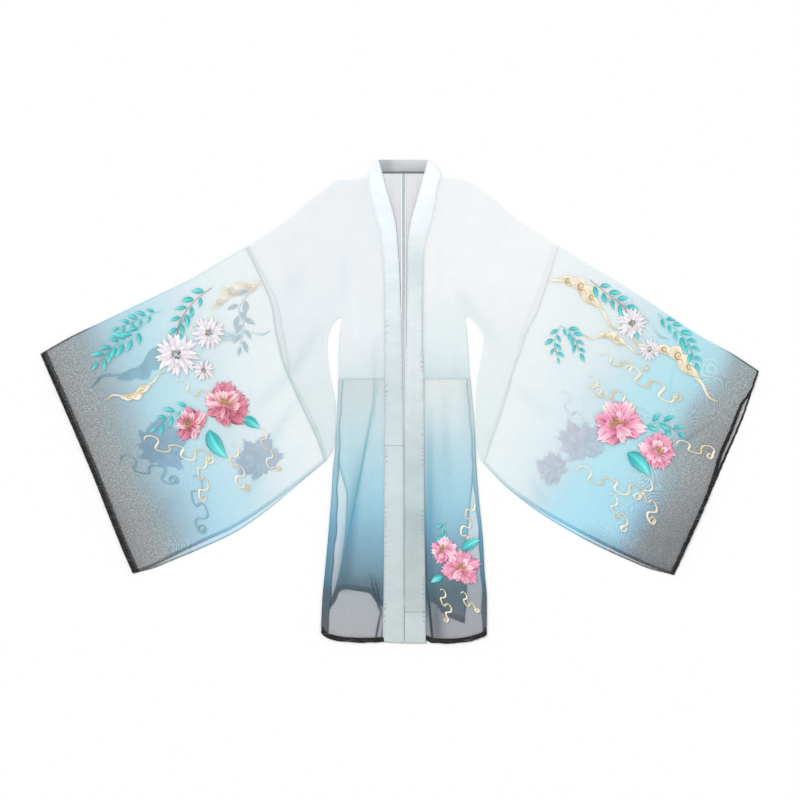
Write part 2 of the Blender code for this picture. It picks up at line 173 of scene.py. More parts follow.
# Collar band: outer x, outer y, inner x, inner y, from the neck down.
BAND = {
    "left": (
        (-0.074, 0.588, -0.055, 0.604),
        (-0.083, 0.564, -0.046, 0.573),
        (-0.080, 0.529, -0.035, 0.529),
        (-0.070, 0.486, -0.022, 0.486),
        (-0.055, 0.434, -0.011, 0.434),
        (-0.047, 0.374, -0.006, 0.374),
        (-0.041, 0.279, -0.001, 0.279),
        (-0.040, 0.156, 0.003, 0.156),
        (-0.040, WAIST, 0.005, WAIST),
        (-0.040, -0.111, 0.007, -0.111),
        (-0.041, -0.246, 0.008, -0.246),
        (-0.042, -0.421, 0.008, -0.421),
        (-0.045, -0.601, 0.009, -0.604),
    ),
    "right": (
        (0.089, 0.590, 0.069, 0.604),
        (0.101, 0.566, 0.060, 0.573),
        (0.092, 0.529, 0.048, 0.529),
        (0.085, 0.486, 0.036, 0.486),
        (0.073, 0.434, 0.023, 0.434),
        (0.059, 0.374, 0.018, 0.374),
        (0.056, 0.279, 0.017, 0.279),
        (0.055, 0.156, 0.015, 0.156),
        (0.059, WAIST, 0.012, WAIST),
        (0.060, -0.111, 0.010, -0.111),
        (0.060, -0.246, 0.010, -0.246),
        (0.062, -0.421, 0.010, -0.421),
        (0.063, -0.526, 0.0105, -0.526),
        (0.064, -0.604, 0.011, -0.604),
    ),
}

# Side seam from the waist to the underarm: x, y.
SIDE_SEAM = {
    "left": (
        (-0.155, WAIST),
        (-0.154, 0.156), (-0.149, 0.189), (-0.146, 0.208), (-0.149, 0.211), (-0.151, 0.211),
        (-0.154, 0.210), (-0.156, 0.209),
    ),
    "right": (
        (0.174, WAIST),
        (0.167, 0.156), (0.164, 0.189), (0.161, 0.208), (0.164, 0.212), (0.168, 0.214),
        (0.171, 0.212), (0.174, 0.210),
    ),
}

# Upper sleeve from the neck outwards: shoulder x, y, then the under edge x, y.
SHOULDER = {
    "left": (
        (-0.121, 0.557, -0.160, 0.206),
        (-0.156, 0.555, -0.165, 0.201),
        (-0.194, 0.529, -0.174, 0.186),
        (-0.231, 0.501, -0.181, 0.164),
        (-0.269, 0.469, -0.184, 0.136),
        (-0.306, 0.441, -0.180, 0.089),
        (-0.341, 0.417, -0.171, 0.039),
        (-0.369, 0.399, -0.163, -0.011),
        (-0.376, 0.393, -0.163, -0.091),
        (-0.381, 0.390, -0.174, -0.129),
        (-0.386, 0.386, -0.189, -0.149),
    ),
    "right": (
        (0.129, 0.561, 0.177, 0.206),
        (0.161, 0.556, 0.184, 0.199),
        (0.199, 0.534, 0.194, 0.186),
        (0.236, 0.504, 0.205, 0.164),
        (0.274, 0.471, 0.204, 0.136),
        (0.311, 0.445, 0.199, 0.099),
        (0.349, 0.420, 0.191, 0.054),
        (0.374, 0.403, 0.188, -0.009),
        (0.384, 0.396, 0.188, -0.091),
        (0.390, 0.393, 0.194, -0.136),
        (0.394, 0.390, 0.209, -0.155),
    ),
}

# How far the sleeve seam bows off its chord: at this share of its length, by this much.
SEAM_BOW = {
    "left": ((0.25, -0.011), (0.40, 0.004), (0.55, 0.013), (0.71, 0.008), (0.91, -0.001)),
    "right": ((0.20, 0.004), (0.30, 0.003), (0.42, -0.005), (0.56, -0.005), (0.70, -0.001)),
}
BOW_FADE = 0.22

# Folds of the front cloth: start x, y, end x, y, sideways bow, half width, height, and how
# much they darken the cloth, partly as doubled cloth in the fold and partly as painted shade.
FOLDS = np.array(
    (
        (-0.0655, 0.160, -0.0645, 0.020, 0.000, 0.0040, -0.0012, 0.40),
        (-0.186, 0.204, -0.376, -0.031, -0.012, 0.016, -0.0030, 0.40),
        (-0.212, 0.150, -0.300, 0.010, 0.010, 0.013, 0.0020, 0.00),
        (-0.231, 0.044, -0.391, -0.276, 0.014, 0.014, -0.0026, 0.42),
        (-0.205, -0.020, -0.300, -0.200, 0.006, 0.016, 0.0018, 0.00),
        (-0.226, 0.345, -0.296, 0.250, 0.004, 0.020, -0.0016, 0.22),
        (-0.300, 0.340, -0.470, 0.120, -0.020, 0.030, 0.0022, 0.00),
        (-0.130, 0.380, -0.142, 0.245, 0.006, 0.016, -0.0014, 0.22),
        (-0.105, 0.330, -0.095, 0.120, 0.006, 0.014, 0.0014, 0.00),
        (-0.052, 0.170, -0.064, 0.054, 0.002, 0.012, -0.0014, 0.26),
        (-0.460, 0.060, -0.640, -0.190, 0.020, 0.034, 0.0024, 0.00),
        (-0.560, 0.200, -0.760, 0.040, 0.014, 0.030, 0.0018, 0.00),
        (-0.520, -0.190, -0.660, -0.330, -0.012, 0.022, -0.0018, 0.12),
        (-0.680, -0.150, -0.840, 0.020, 0.012, 0.026, 0.0016, 0.00),
        (0.128, 0.312, 0.262, 0.134, 0.014, 0.018, -0.0026, 0.34),
        (0.214, 0.210, 0.330, 0.080, -0.010, 0.015, 0.0024, 0.00),
        (0.272, 0.062, 0.384, -0.040, 0.008, 0.016, -0.0020, 0.24),
        (0.226, -0.010, 0.330, -0.180, -0.008, 0.018, 0.0018, 0.00),
        (0.318, -0.180, 0.372, -0.262, 0.004, 0.010, -0.0018, 0.26),
        (0.300, 0.330, 0.460, 0.140, 0.016, 0.030, 0.0018, 0.00),
        (0.440, -0.030, 0.610, -0.240, -0.016, 0.032, 0.0022, 0.00),
        (0.792, -0.044, 0.676, -0.136, 0.006, 0.006, -0.0020, 0.42),
        (0.800, -0.060, 0.690, -0.150, 0.004, 0.010, 0.0014, 0.00),
        (0.697, 0.118, 0.672, 0.000, 0.004, 0.005, -0.0012, 0.22),
        (0.560, 0.190, 0.720, 0.010, 0.012, 0.028, 0.0018, 0.00),
        (0.560, -0.250, 0.660, -0.380, 0.008, 0.020, -0.0014, 0.10),
        (0.100, 0.400, 0.118, 0.200, 0.006, 0.016, -0.0014, 0.16),
        (0.140, 0.170, 0.132, 0.060, 0.002, 0.012, 0.0012, 0.00),
    )
)


def eased(knots, values, where):
    """A smooth line through the values at the knots, with no overshoot, read at `where`."""
    knots, values, where = (np.asarray(given, float) for given in (knots, values, where))
    values = values.reshape(len(knots), -1)
    step = np.diff(knots)[:, None]
    slope = np.diff(values, axis=0) / step
    turn = np.vstack((slope[:1], np.zeros_like(slope[1:]), slope[-1:]))
    same = slope[1:] * slope[:-1] > 0
    total = np.where(same, slope[1:] + slope[:-1], 1.0)
    turn[1:-1] = np.where(same, 2 * slope[1:] * slope[:-1] / total, 0.0)
    at = np.clip(np.searchsorted(knots, where, side="right") - 1, 0, len(step) - 1)
    part = ((where - knots[at]) / step[at, 0])[:, None]
    rest = 1 - part
    line = values[at] * (1 + 2 * part) * rest**2 + values[at + 1] * part**2 * (3 - 2 * part)
    return line + step[at] * (turn[at] * part * rest**2 - turn[at + 1] * part**2 * rest)


def softly(value):
    """0 below 0, 1 above 1, and a soft step between."""
    value = np.clip(value, 0.0, 1.0)
    return value * value * (3 - 2 * value)


def run_of(points):
    """How far along a row of points each one is."""
    steps = np.hypot(*np.moveaxis(np.diff(points[..., :2], axis=0), -1, 0))
    return np.concatenate((np.zeros_like(steps[:1]), np.cumsum(steps, axis=0)))


def across_of(grid):
    """How far across its row each point of a grid is."""
    return run_of(np.swapaxes(grid, 0, 1)).T


def square_to(line):
    """The unit vector square to a line of points at each one, to the right of its run."""
    run = np.gradient(line[:, :2], axis=0)
    return np.stack((run[:, 1], -run[:, 0]), 1) / np.hypot(*run.T)[:, None]


def bow_of(bows, shares):
    knots = ((0.0, 0.0), *bows, (1.0, 0.0))
    return eased([at for at, _ in knots], [off for _, off in knots], shares)[:, 0]


def laid_out(near, far, across, first_bow=(), last_bow=(), out=1, step=CLOTH_STEP):
    """A grid of (x, y) points over a panel, between its near and its far edge.

    The first and last rows may bow off the straight, and the rows beside them bow less.
    """
    near, far = np.asarray(near, float), np.asarray(far, float)
    spans = np.maximum(*(np.hypot(*np.diff(edge, axis=0).T) for edge in (near, far)))
    places = [0.0]
    for index, span in enumerate(spans):
        count = max(1, ceil(span / step))
        places += [index + k / count for k in range(1, count + 1)]
    knots = np.arange(len(near))
    near, far = eased(knots, near, places), eased(knots, far, places)
    shares = np.linspace(0.0, 1.0, across + 1)
    chord = far - near
    square = np.stack((-chord[:, 1], chord[:, 0]), 1) / np.hypot(*chord.T)[:, None] * out
    run = (run_of(near) + run_of(far)) / 2
    from_first = np.clip(1 - run / BOW_FADE, 0, 1)
    from_last = np.clip(1 - (run[-1] - run) / BOW_FADE, 0, 1)
    off = np.outer(from_first, bow_of(first_bow, shares))
    off += np.outer(from_last, bow_of(last_bow, shares))
    return near[:, None] + chord[:, None] * shares[:, None] + square[:, None] * off[..., None]


def from_line(x, y, line):
    """How far each point is from a line of (x, y) points."""
    nearest = np.full(np.shape(x), 9.0)
    for (ax, ay), (bx, by) in zip(line, line[1:]):
        run_x, run_y = bx - ax, by - ay
        part = ((x - ax) * run_x + (y - ay) * run_y) / max(run_x**2 + run_y**2, 1e-12)
        part = np.clip(part, 0.0, 1.0)
        nearest = np.minimum(nearest, np.hypot(x - ax - part * run_x, y - ay - part * run_y))
    return nearest


def folded(x, y, folds=FOLDS):
    """How far the folds lift the cloth at each point, and how much they darken it, as doubled cloth and painted shade.
    """
    lift, doubled_and_shaded = np.zeros(np.shape(x)), np.zeros(np.shape(x))
    for start_x, start_y, end_x, end_y, bow, reach, height, doubling_and_shade in folds:
        run_x, run_y = end_x - start_x, end_y - start_y
        length = hypot(run_x, run_y)
        along = ((x - start_x) * run_x + (y - start_y) * run_y) / length**2
        aside = ((x - start_x) * run_y - (y - start_y) * run_x) / length
        along = np.clip(along, 0.0, 1.0)
        aside = aside - bow * 4 * along * (1 - along)
        width = reach * (0.75 + 0.5 * along)
        shape = np.exp(-((aside / width) ** 2)) * np.sin(pi * along) ** 0.8
        lift += height * shape
        doubled_and_shaded = np.maximum(doubled_and_shaded, doubling_and_shade * shape)
    return lift, doubled_and_shaded


def ripple(x, y, seed, finest=0.05, coarsest=0.22, waves=16):
    """Slight uneven waves all over the cloth, from -1 to 1."""
    random = np.random.default_rng(seed)
    total = np.zeros(np.shape(x))
    ranges = (finest, coarsest), (0, pi), (0, tau)
    for _ in range(waves):
        length, angle, phase = (random.uniform(*ends) for ends in ranges)
        along = (x * cos(angle) + y * sin(angle)) * tau / length
        total += np.sin(along + phase) * length / coarsest
    return total / (waves * 0.35)


def through(points, count):
    """A smooth line of so many points through the given ones."""
    knots = np.arange(len(points))
    return eased(knots, points, np.linspace(0, knots[-1], count))


def sewn_lines(side):
    """The edges where the front and the back of a side are sewn or folded together."""
    top = through([row[:2] for row in SHOULDER[side]], 60)
    under = through([row[2:] for row in SHOULDER[side]], 60)
    return [top, np.vstack((through(SIDE_SEAM[side], 30), under))]


SEWN = {side: sewn_lines(side) for side in OUT}


def settled(rise):
    """A rise that stays clear of the cloth beneath, however deep a fold goes."""
    low = LEAST_RISE * np.exp(np.clip(rise / LEAST_RISE - 1, -30, 0))
    return np.where(rise > LEAST_RISE, rise, low)


def front_height(x, y, side):
    """Where the front cloth lies: near the back at sewn edges, and a little lifted inside."""
    inside = np.min([from_line(x, y, line) for line in SEWN[side]], axis=0)
    free = 1 - np.exp(-inside / LIFT_REACH)
    lift, doubled_and_shaded = folded(x, y)
    rise = settled(LIFT + RIPPLE * ripple(x, y, 11) + lift)
    return FRONT_LEVEL + free * rise, doubled_and_shaded * (1 - np.exp(-inside / FOLD_FADE))


def back_height(x, y):
    return BACK_LEVEL + 0.0004 * np.clip(ripple(x, y, 23), 0, 1)


def quads(index):
    """The four-cornered faces between the points of a numbered grid."""
    corners = index[:-1, :-1], index[:-1, 1:], index[1:, 1:], index[1:, :-1]
    return np.stack(corners, -1).reshape(-1, 4)


def shown(mesh, finish, marks, tints=None):
    """A mesh's piece in the scene, smooth and finished. Its points carry marks and tints."""
    if tints is not None:
        layer = mesh.attributes.new("tint", "FLOAT_COLOR", "POINT")
        colours = np.hstack((tints, np.ones((len(tints), 1))))
        layer.data.foreach_set("color", colours.astype(np.float32).ravel())
    for mark, values in marks.items():
        layer = mesh.attributes.new(mark, "FLOAT", "POINT")
        layer.data.foreach_set("value", np.asarray(values, np.float32).ravel())
    mesh.materials.append(finish)
    mesh.shade_smooth()
    piece = bpy.data.objects.new(mesh.name, mesh)
    bpy.context.scene.collection.objects.link(piece)
    return piece


def sheet_piece(name, points, finish, marks, under=None):
    """A named sheet of cloth on a grid of points, which carries the marks, one value a point.

    With the heights of its underside it is closed, and its two faces meet at the border.
    """
    rows, width = points.shape[:2]
    index = np.arange(rows * width).reshape(rows, width)
    faces = quads(index)
    row, place, step = rows // 2, width // 2, 1 if rows > 2 else -1
    middle, across, along = points[row, place], points[row, place + 1], points[row + step, place]
    turn = np.cross((across - middle)[:2], (along - middle)[:2]) * step
    if turn < 0:
        faces = faces[:, ::-1]
    points = points.reshape(-1, 3)
    if under is not None:
        below = points.reshape(rows, width, 3)[1:-1, 1:-1].copy()
        below[..., 2] = under[1:-1, 1:-1]
        lower = index.copy()
        lower[1:-1, 1:-1] = len(points) + np.arange(below[..., 0].size).reshape(below.shape[:2])
        faces = np.vstack((faces, quads(lower) if turn < 0 else quads(lower)[:, ::-1]))
        points = np.vstack((points, below.reshape(-1, 3)))
        marks = {mark: np.append(v, v[1:-1, 1:-1]) for mark, v in marks.items()}
    mesh = bpy.data.meshes.new(name)
    mesh.from_pydata(points.tolist(), [], faces.tolist())
    return shown(mesh, finish, marks)


cuts, carried = {}, {}


def lay(piece, nodes, slot, grid, flat, rests_on, held="laid"):
    """Gives a sheet its place in the robe, and notes how it was cut."""
    cell = np.diff(grid, axis=0)[:, :-1], np.diff(grid, axis=1)[:-1]
    area = min(float(np.abs(np.cross(cell[0], cell[1])).sum()), flat[0] * flat[1])
    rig.ride(piece, "root")
    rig.replaces(piece, *nodes)
    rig.slot(piece, slot)
    cuts[piece.name] = dict(flat=flat, held=held, rests_on=rests_on, area=area)


def carry(sheet, piece, slot):
    """Fastens a seam edge, tape, stitching or embroidery to the sheet that carries it."""
    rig.ride(piece, "root")
    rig.slot(piece, slot)
    carried.setdefault(sheet, []).append(piece)


def seam_marks(grid, doubled_and_shaded, near=True, far=True, first=True, last=True):
    """How far each point is from its panel's seams, and how much its folds double and shade it."""
    down, over = run_of(grid), across_of(grid)
    edges = (over, near), (over[:, -1:] - over, far), (down, first), (down[-1:] - down, last)
    return {"seam": np.min([distance for distance, sewn in edges if sewn], axis=0), "fold": doubled_and_shaded}


def tone(red, green, blue):
    """A colour as light, from its screen values."""
    shares = red / 255, green / 255, blue / 255
    return tuple(v / 12.92 if v <= 0.04045 else ((v + 0.055) / 1.055) ** 2.4 for v in shares)


class Thread:
    """A value in a finish. Sums and products of threads add Math nodes, and node() any other."""

    def __init__(self, tree, socket=None):
        self.tree, self.socket = tree, socket

    def node(self, kind, settings=None, sockets=None, output=0):
        """A new node: its settings first, then its sockets, each a value or a thread."""
        made = self.tree.nodes.new(kind)
        for setting, value in (settings or {}).items():
            if setting == "stops":
                ramp = made.color_ramp.elements
                for at, _ in value[1:-1]:
                    ramp.new(at)
                for element, (at, colour) in zip(ramp, value):
                    element.position, element.color = at, (*colour, 1.0)
            else:
                setattr(made, setting, value)
        for place, value in (sockets or {}).items():
            if isinstance(value, Thread):
                self.tree.links.new(value.socket, made.inputs[place])
            else:
                made.inputs[place].default_value = value
        return Thread(self.tree, made.outputs[output])

    def math(self, operation, *values):
        return self.node("ShaderNodeMath", {"operation": operation}, dict(enumerate(values)))

    def __add__(self, other):
        return self.math("ADD", self, other)

    def __sub__(self, other):
        return self.math("SUBTRACT", self, other)

    def __rsub__(self, other):
        return self.math("SUBTRACT", other, self)

    def __mul__(self, other):
        return self.math("MULTIPLY", self, other)

    __radd__, __rmul__ = __add__, __mul__

    def within(self, low, high):
        """0 up to low, 1 from high on, and a soft step between."""
        sockets = {0: self, 1: low, 2: high, 3: 0.0, 4: 1.0}
        return self.node("ShaderNodeMapRange", {"interpolation_type": "SMOOTHSTEP"}, sockets)

    def until(self, low, high):
        """1 up to low, 0 from high on, and a soft step between."""
        return 1 - self.within(low, high)

    def away_from(self, middle):
        off = self - middle
        return off.math("ABSOLUTE", off)

    def ramp(self, stops):
        return self.node("ShaderNodeValToRGB", {"stops": stops}, {0: self})

    def grey(self, first, last, low=0.0, high=1.0):
        """The first grey where this value is low, and the last where it is high."""
        return self.ramp([(low, (first,) * 3), (high, (last,) * 3)])

    def mixed(self, other, share, how="MIX"):
        """This colour with the other laid over it, by a share."""
        other = (*other, 1.0) if isinstance(other, tuple) else other
        settings = {"data_type": "RGBA", "blend_type": how, "clamp_result": True}
        return self.node("ShaderNodeMix", settings, {0: share, 6: self, 7: other}, 2)

    def deepened(self, tint, share):
        """This colour multiplied by a tint, by a share."""
        return self.mixed(tint, share, "MULTIPLY")

    def grown(self, factors):
        return self.node("ShaderNodeVectorMath", {"operation": "MULTIPLY"}, {0: self, 1: factors})

    def cloudy(self, scale, detail=2.0, roughness=0.5):
        """Soft noise over this vector, from 0 to 1."""
        sockets = {"Vector": self, "Scale": scale, "Detail": detail, "Roughness": roughness}
        return self.node("ShaderNodeTexNoise", {}, sockets)

    def fibres(self, across, up, detail, roughness=0.5):
        """Noise drawn out into fibres, with so many to a metre each way."""
        return self.grown((across, up, 1.0)).cloudy(1.0, detail, roughness)

    def mark(self, name, output=2):
        """A value that the piece's points carry, or with output 0 a colour."""
        return self.node("ShaderNodeAttribute", {"attribute_name": name}, {}, output)

    def dyed(self, stops):
        """The dye at this value, from (value, colour) pairs that rise."""
        low, high = stops[0][0], stops[-1][0]
        share = self.node("ShaderNodeMapRange", {}, {0: self, 1: low, 2: high})
        return share.ramp([((at - low) / (high - low), tone(*colour)) for at, colour in stops])

    def along(self, axis):
        return self.node("ShaderNodeSeparateXYZ", {}, {0: self}, "XYZ".index(axis))

    def height(self, unevenness, *noise):
        """How far up the robe this place is, made uneven by soft noise."""
        return self.along("Y") + (self.cloudy(*noise) - 0.5) * unevenness


def new_finish(name, **constants):
    """A material, its surface's constants set, and the place on the cloth as a thread."""
    material = bpy.data.materials.new(name)
    material.use_nodes = True
    surface = material.node_tree.nodes["Principled BSDF"]
    for socket, value in constants.items():
        surface.inputs[socket.replace("_", " ")].default_value = value
    place = Thread(material.node_tree).node("ShaderNodeTexCoord", {}, {}, 3)
    return material, surface, place


def feed(surface, **threads):
    """Joins threads to the sockets of a surface."""
    for socket, thread in threads.items():
        thread.tree.links.new(thread.socket, surface.inputs[socket.replace("_", " ")])


def raise_threads(surface, place, strength, distance, height):
    """Gives a surface the small relief of its threads."""
    sockets = {"Strength": strength, "Distance": distance, "Height": height}
    feed(surface, Normal=place.node("ShaderNodeBump", {}, sockets))


ORGANZA = dict(Roughness=0.55, Sheen_Weight=0.12, Sheen_Roughness=0.4, Specular_IOR_Level=0.3)


def linen(place):
    """The uneven threads of a plain weave both ways, from about 0.3 to 0.7."""
    return (place.fibres(340.0, 26.0, 3.0) + place.fibres(26.0, 340.0, 3.0)) * 0.5


# How far from a seam its doubled cloth fades out, and its tint.
SEAM = ((0.0012, 0.0032), (0.46, 0.65, 0.64))


def sheer(surface, place, colour, cover, weave, grain, line, tint, fold_cover=0.2, seam=SEAM):
    """Finishes organza: threads, painted shade and doubled cloth in folds, and doubled cloth with a thread at seams."""
    fold, (reach, seam_tint) = place.mark("fold"), seam
    # In folds the dye is deepened by itself and by the tint as painted shade, and the cover rises for the doubled
    # cloth.
    colour = colour.deepened(colour, fold).deepened(tint, fold)
    doubled = place.mark("seam").until(*reach)
    colour = colour.deepened(seam_tint, doubled * line)
    shade = weave.grey(0.5, 1.5)
    colour = colour.deepened(shade, grain)
    cover = cover + (weave - 0.5) * 0.12 + fold * fold_cover + doubled * (line * 0.45)
    feed(surface, Base_Color=colour, Alpha=cover)
    raise_threads(surface, place, 0.35, 0.0006, weave + place.cloudy(60.0, 3.0) * 0.6)


# The dye is white at the shoulders, with a breath of mint towards the waist and underarms.
# Where the inside of the back shows between the collar bands it is greyer, as painted shade,
# and darker by the bands' inner edges, as their painted shadow.
BODICE_COVER = 0.42
# The tint of the painted shade in the bodice and sleeve folds.
BODICE_FOLD_SHADE = (0.70, 0.81, 0.80)
bodice_organza, surface, place = new_finish("bodice organza", **ORGANZA)
height = place.height(0.05, 5.0)
aside = place.along("X").away_from(0.010)
sleeve_dye = height.dyed(
    (
        (-0.16, (230, 243, 244)), (0.0, (238, 247, 247)), (0.16, (244, 249, 251)),
        (0.30, (251, 253, 255)),
    )
)
body_dye = height.dyed(
    (
        (0.05, (224, 238, 240)), (0.10, (240, 247, 249)), (0.16, (249, 252, 254)),
        (0.30, (251, 253, 255)),
    )
)
dyed = body_dye.mixed(sleeve_dye, aside.within(0.150, 0.185))
# Painted shade on the inside of the back, between the collar bands.
dyed = dyed.mixed(tone(224, 224, 231), aside.until(0.030, 0.055))
right = place.along("X").within(-0.05, 0.08)
dyed = dyed.deepened((0.945, 0.965, 0.98), 1 - right)
in_body = right * place.along("X").until(0.16, 0.20)
dyed = dyed.deepened((0.90, 0.96, 0.96), in_body * place.along("Y").until(0.16, 0.30))
# The collar bands' painted shadow on the back, from the shade mark.
dyed = dyed.deepened((0.74, 0.72, 0.74), place.mark("shade"))
weave = linen(place) * 0.4 + place.cloudy(14.0, 3.0) * 0.6
line = 0.42 - place.along("X").within(0.18, 0.21) * 0.26
sheer(surface, place, dyed, BODICE_COVER, weave, 0.10, line, BODICE_FOLD_SHADE)

BACK_CENTRE = (WAIST, 0.156, 0.279, 0.374, 0.470, NECK_SEAM)
NECK_SEAM_REACH = (0.040, 0.074)
FRONT_ACROSS = 90
BACK_ACROSS = 60
BODICE_FLAT = (0.42, 0.74)
BAND_SHADE = 0.011

seams = {}
for side, out in OUT.items():
    shoulder = [row[:2] for row in SHOULDER[side]]
    far = [*SIDE_SEAM[side], *(row[2:] for row in SHOULDER[side])]

    near = [(CENTRE_SEAM, y) for y in BACK_CENTRE]
    near += [(CENTRE_SEAM + reach * out, NECK_SEAM) for reach in NECK_SEAM_REACH]
    grid = laid_out([*near, *shoulder], far, BACK_ACROSS, last_bow=SEAM_BOW[side], out=out)
    x, y = grid[..., 0], grid[..., 1]
    points = np.dstack((x, y, back_height(x, y)))
    marks = seam_marks(grid, np.zeros(x.shape), near=False)
    lines = [[row[2:] for row in BAND[each][1:9]] for each in OUT]
    # The shade mark: where the collar bands' painted shadow falls, strongest by their inner edges.
    marks["shade"] = np.exp(-np.minimum(*(from_line(x, y, line) for line in lines)) / BAND_SHADE)
    piece = sheet_piece(f"back_bodice_cloth_{side}", points, bodice_organza, marks)
    lay(piece, [f"back_bodice_{side}"], "bodice_organza", grid, BODICE_FLAT, ["floor"])

    caught = [(row[0] - CAUGHT_IN_BAND * out, row[1]) for row in BAND[side][8:0:-1]]
    grid = laid_out([*caught, *shoulder], far, FRONT_ACROSS, last_bow=SEAM_BOW[side], out=out)
    x, y = grid[..., 0], grid[..., 1]
    z, doubled_and_shaded = front_height(x, y, side)
    marks = seam_marks(grid, doubled_and_shaded, near=False)
    piece = sheet_piece(f"front_bodice_cloth_{side}", np.dstack((x, y, z)), bodice_organza, marks)
    under = [f"back_bodice_cloth_{side}"]
    lay(piece, [f"front_bodice_{side}"], "bodice_organza", grid, BODICE_FLAT, under)
    seams[side] = np.dstack((x, y, z))[-1]

# ---------------------------------------------------------------------------------------
# The sleeves: a wide back and front panel of the same organza on each side, sewn to the
# bodice's sleeves. Only the fold along the top and the underarm seam join them. They are
# dip-dyed from white through sky blue to grey at the cuff.

# A section of the sleeve: top x, y, bottom x, y, and how far the front stops short there.
SLEEVE = {
    "left": (
        (-0.386, 0.386, -0.189, -0.149, 0.000),
        (-0.451, 0.349, -0.264, -0.214, 0.005),
        (-0.526, 0.305, -0.339, -0.276, 0.010),
        (-0.601, 0.269, -0.414, -0.327, 0.013),
        (-0.676, 0.233, -0.489, -0.363, 0.014),
        (-0.751, 0.197, -0.564, -0.395, 0.010),
        (-0.826, 0.161, -0.621, -0.418, 0.005),
        (-0.900, 0.119, -0.669, -0.430, 0.000),
    ),
    "right": (
        (0.394, 0.390, 0.209, -0.155, 0.000),
        (0.449, 0.355, 0.261, -0.210, 0.001),
        (0.524, 0.311, 0.336, -0.270, 0.006),
        (0.599, 0.264, 0.411, -0.317, 0.009),
        (0.674, 0.213, 0.486, -0.358, 0.010),
        (0.749, 0.164, 0.561, -0.393, 0.008),
        (0.824, 0.123, 0.624, -0.419, 0.006),
        (0.896, 0.076, 0.684, -0.434, 0.000),
    ),
}
CUFF_BOW = {
    "left": {"front": ((0.5, -0.003), (0.9, 0.001)), "back": ((0.5, -0.003), (0.9, 0.001))},
    "right": {
        "front": (
            (0.09, 0.003), (0.18, -0.005), (0.30, -0.003), (0.40, -0.004), (0.50, 0.001),
            (0.63, 0.006), (0.85, 0.003),
        ),
        "back": ((0.10, 0.004), (0.24, 0.009), (0.38, 0.008), (0.63, 0.006)),
    },
}
CUFF_TUCK = 0.003
CUFF_HEM = {
    ("front", "left"): ((0.0, 0.0085), (0.5, 0.0100), (1.0, 0.0110)),
    ("back", "left"): ((0.0, 0.0075), (0.5, 0.0090), (1.0, 0.0100)),
    ("front", "right"): ((0.0, 0.0045), (0.1, 0.0055), (0.25, 0.0085), (0.5, 0.0095), (1.0, 0.011)),
    ("back", "right"): ((0.0, 0.0040), (0.25, 0.0050), (0.6, 0.0070), (1.0, 0.0095)),
}
SLEEVE_FLAT = (0.57, 0.66)
SLEEVE_ACROSS = 104
SLEEVE_COVER = 0.42
JOIN_LEVEL = FRONT_LEVEL + 0.0002
JOIN_FADE = 0.010
LOW_FADE = 0.020

# The sleeve dye by the distance from the cuff.
SLEEVE_DYE = (
    (0.00, (125, 128, 132)), (0.03, (140, 143, 145)), (0.07, (148, 159, 162)),
    (0.11, (150, 171, 178)), (0.14, (160, 190, 203)), (0.17, (172, 208, 222)),
    (0.20, (182, 222, 237)), (0.25, (193, 233, 246)), (0.30, (205, 238, 248)),
    (0.36, (220, 240, 246)), (0.42, (233, 247, 251)), (0.50, (242, 250, 252)),
    (0.60, (247, 252, 254)),
)


def cuff_distance(x, y, side):
    """How far a point is from the cuff as the dye has climbed, which is higher at the bottom."""
    top_x, top_y, low_x, low_y, _ = SLEEVE[side][-1]
    run_x, run_y = low_x - top_x, low_y - top_y
    length = hypot(run_x, run_y)
    inward = np.abs(((x - top_x) * run_y - (y - top_y) * run_x) / length)
    down = ((x - top_x) * run_x + (y - top_y) * run_y) / length
    lower = softly((down - 0.30) / 0.25)
    if side == "left":
        return inward - 0.02 * lower, down
    return inward + 0.05 * softly((0.22 - down) / 0.20) - 0.035 * lower, down


def rings_in(place):
    """Nested rings, like those that two fine weaves make as one lies over the other."""
    spread = place.grown((1.4, 0.9, 1.0)).cloudy(9.0, 0.0) * 190.0 + place.cloudy(23.0, 0.0) * 12.0
    return spread.math("SINE", spread)


sleeve_organza, surface, place = new_finish("sleeve organza", **ORGANZA)
reach = place.mark("dye") + (place.cloudy(6.0, 3.0) - 0.5) * 0.045
reach = reach + (place.cloudy(34.0) - 0.5) * 0.006
dyed = reach.dyed(SLEEVE_DYE)
blue = reach.within(0.06, 0.13) * reach.until(0.22, 0.42)
dyed = dyed.mixed(tone(128, 210, 250), place.mark("low") * blue * 0.42)
right = place.along("X").within(0.0, 0.1)
bright = reach.within(0.11, 0.17) * reach.until(0.26, 0.36)
dyed = dyed.mixed(tone(185, 246, 255), right * bright * 0.5)
deeper = place.mark("low") * reach.until(0.05, 0.14)
dyed = dyed.deepened((0.66, 0.68, 0.72), right * deeper)
grey_zone = reach.until(0.04, 0.20)
grain_zone = reach.until(0.03, 0.15)
grainy = place.fibres(430.0, 120.0, 1.0) + place.fibres(120.0, 430.0, 1.0)
patches = place.cloudy(4.5, 1.0).within(0.42, 0.56)
rings = rings_in(place) * place.mark("rings") * patches
streaks = (linen(place) - 0.5) * 0.4 + (grainy - 1.0) * (0.3 + grain_zone * 4.6)
streaks = streaks + rings * 0.62 + 0.5
# Along the lower seam the raw edges lie doubled inside, in a strip with a line on each side.
low_edge = place.mark("low_edge")
strip = low_edge.until(0.0070, 0.0085)
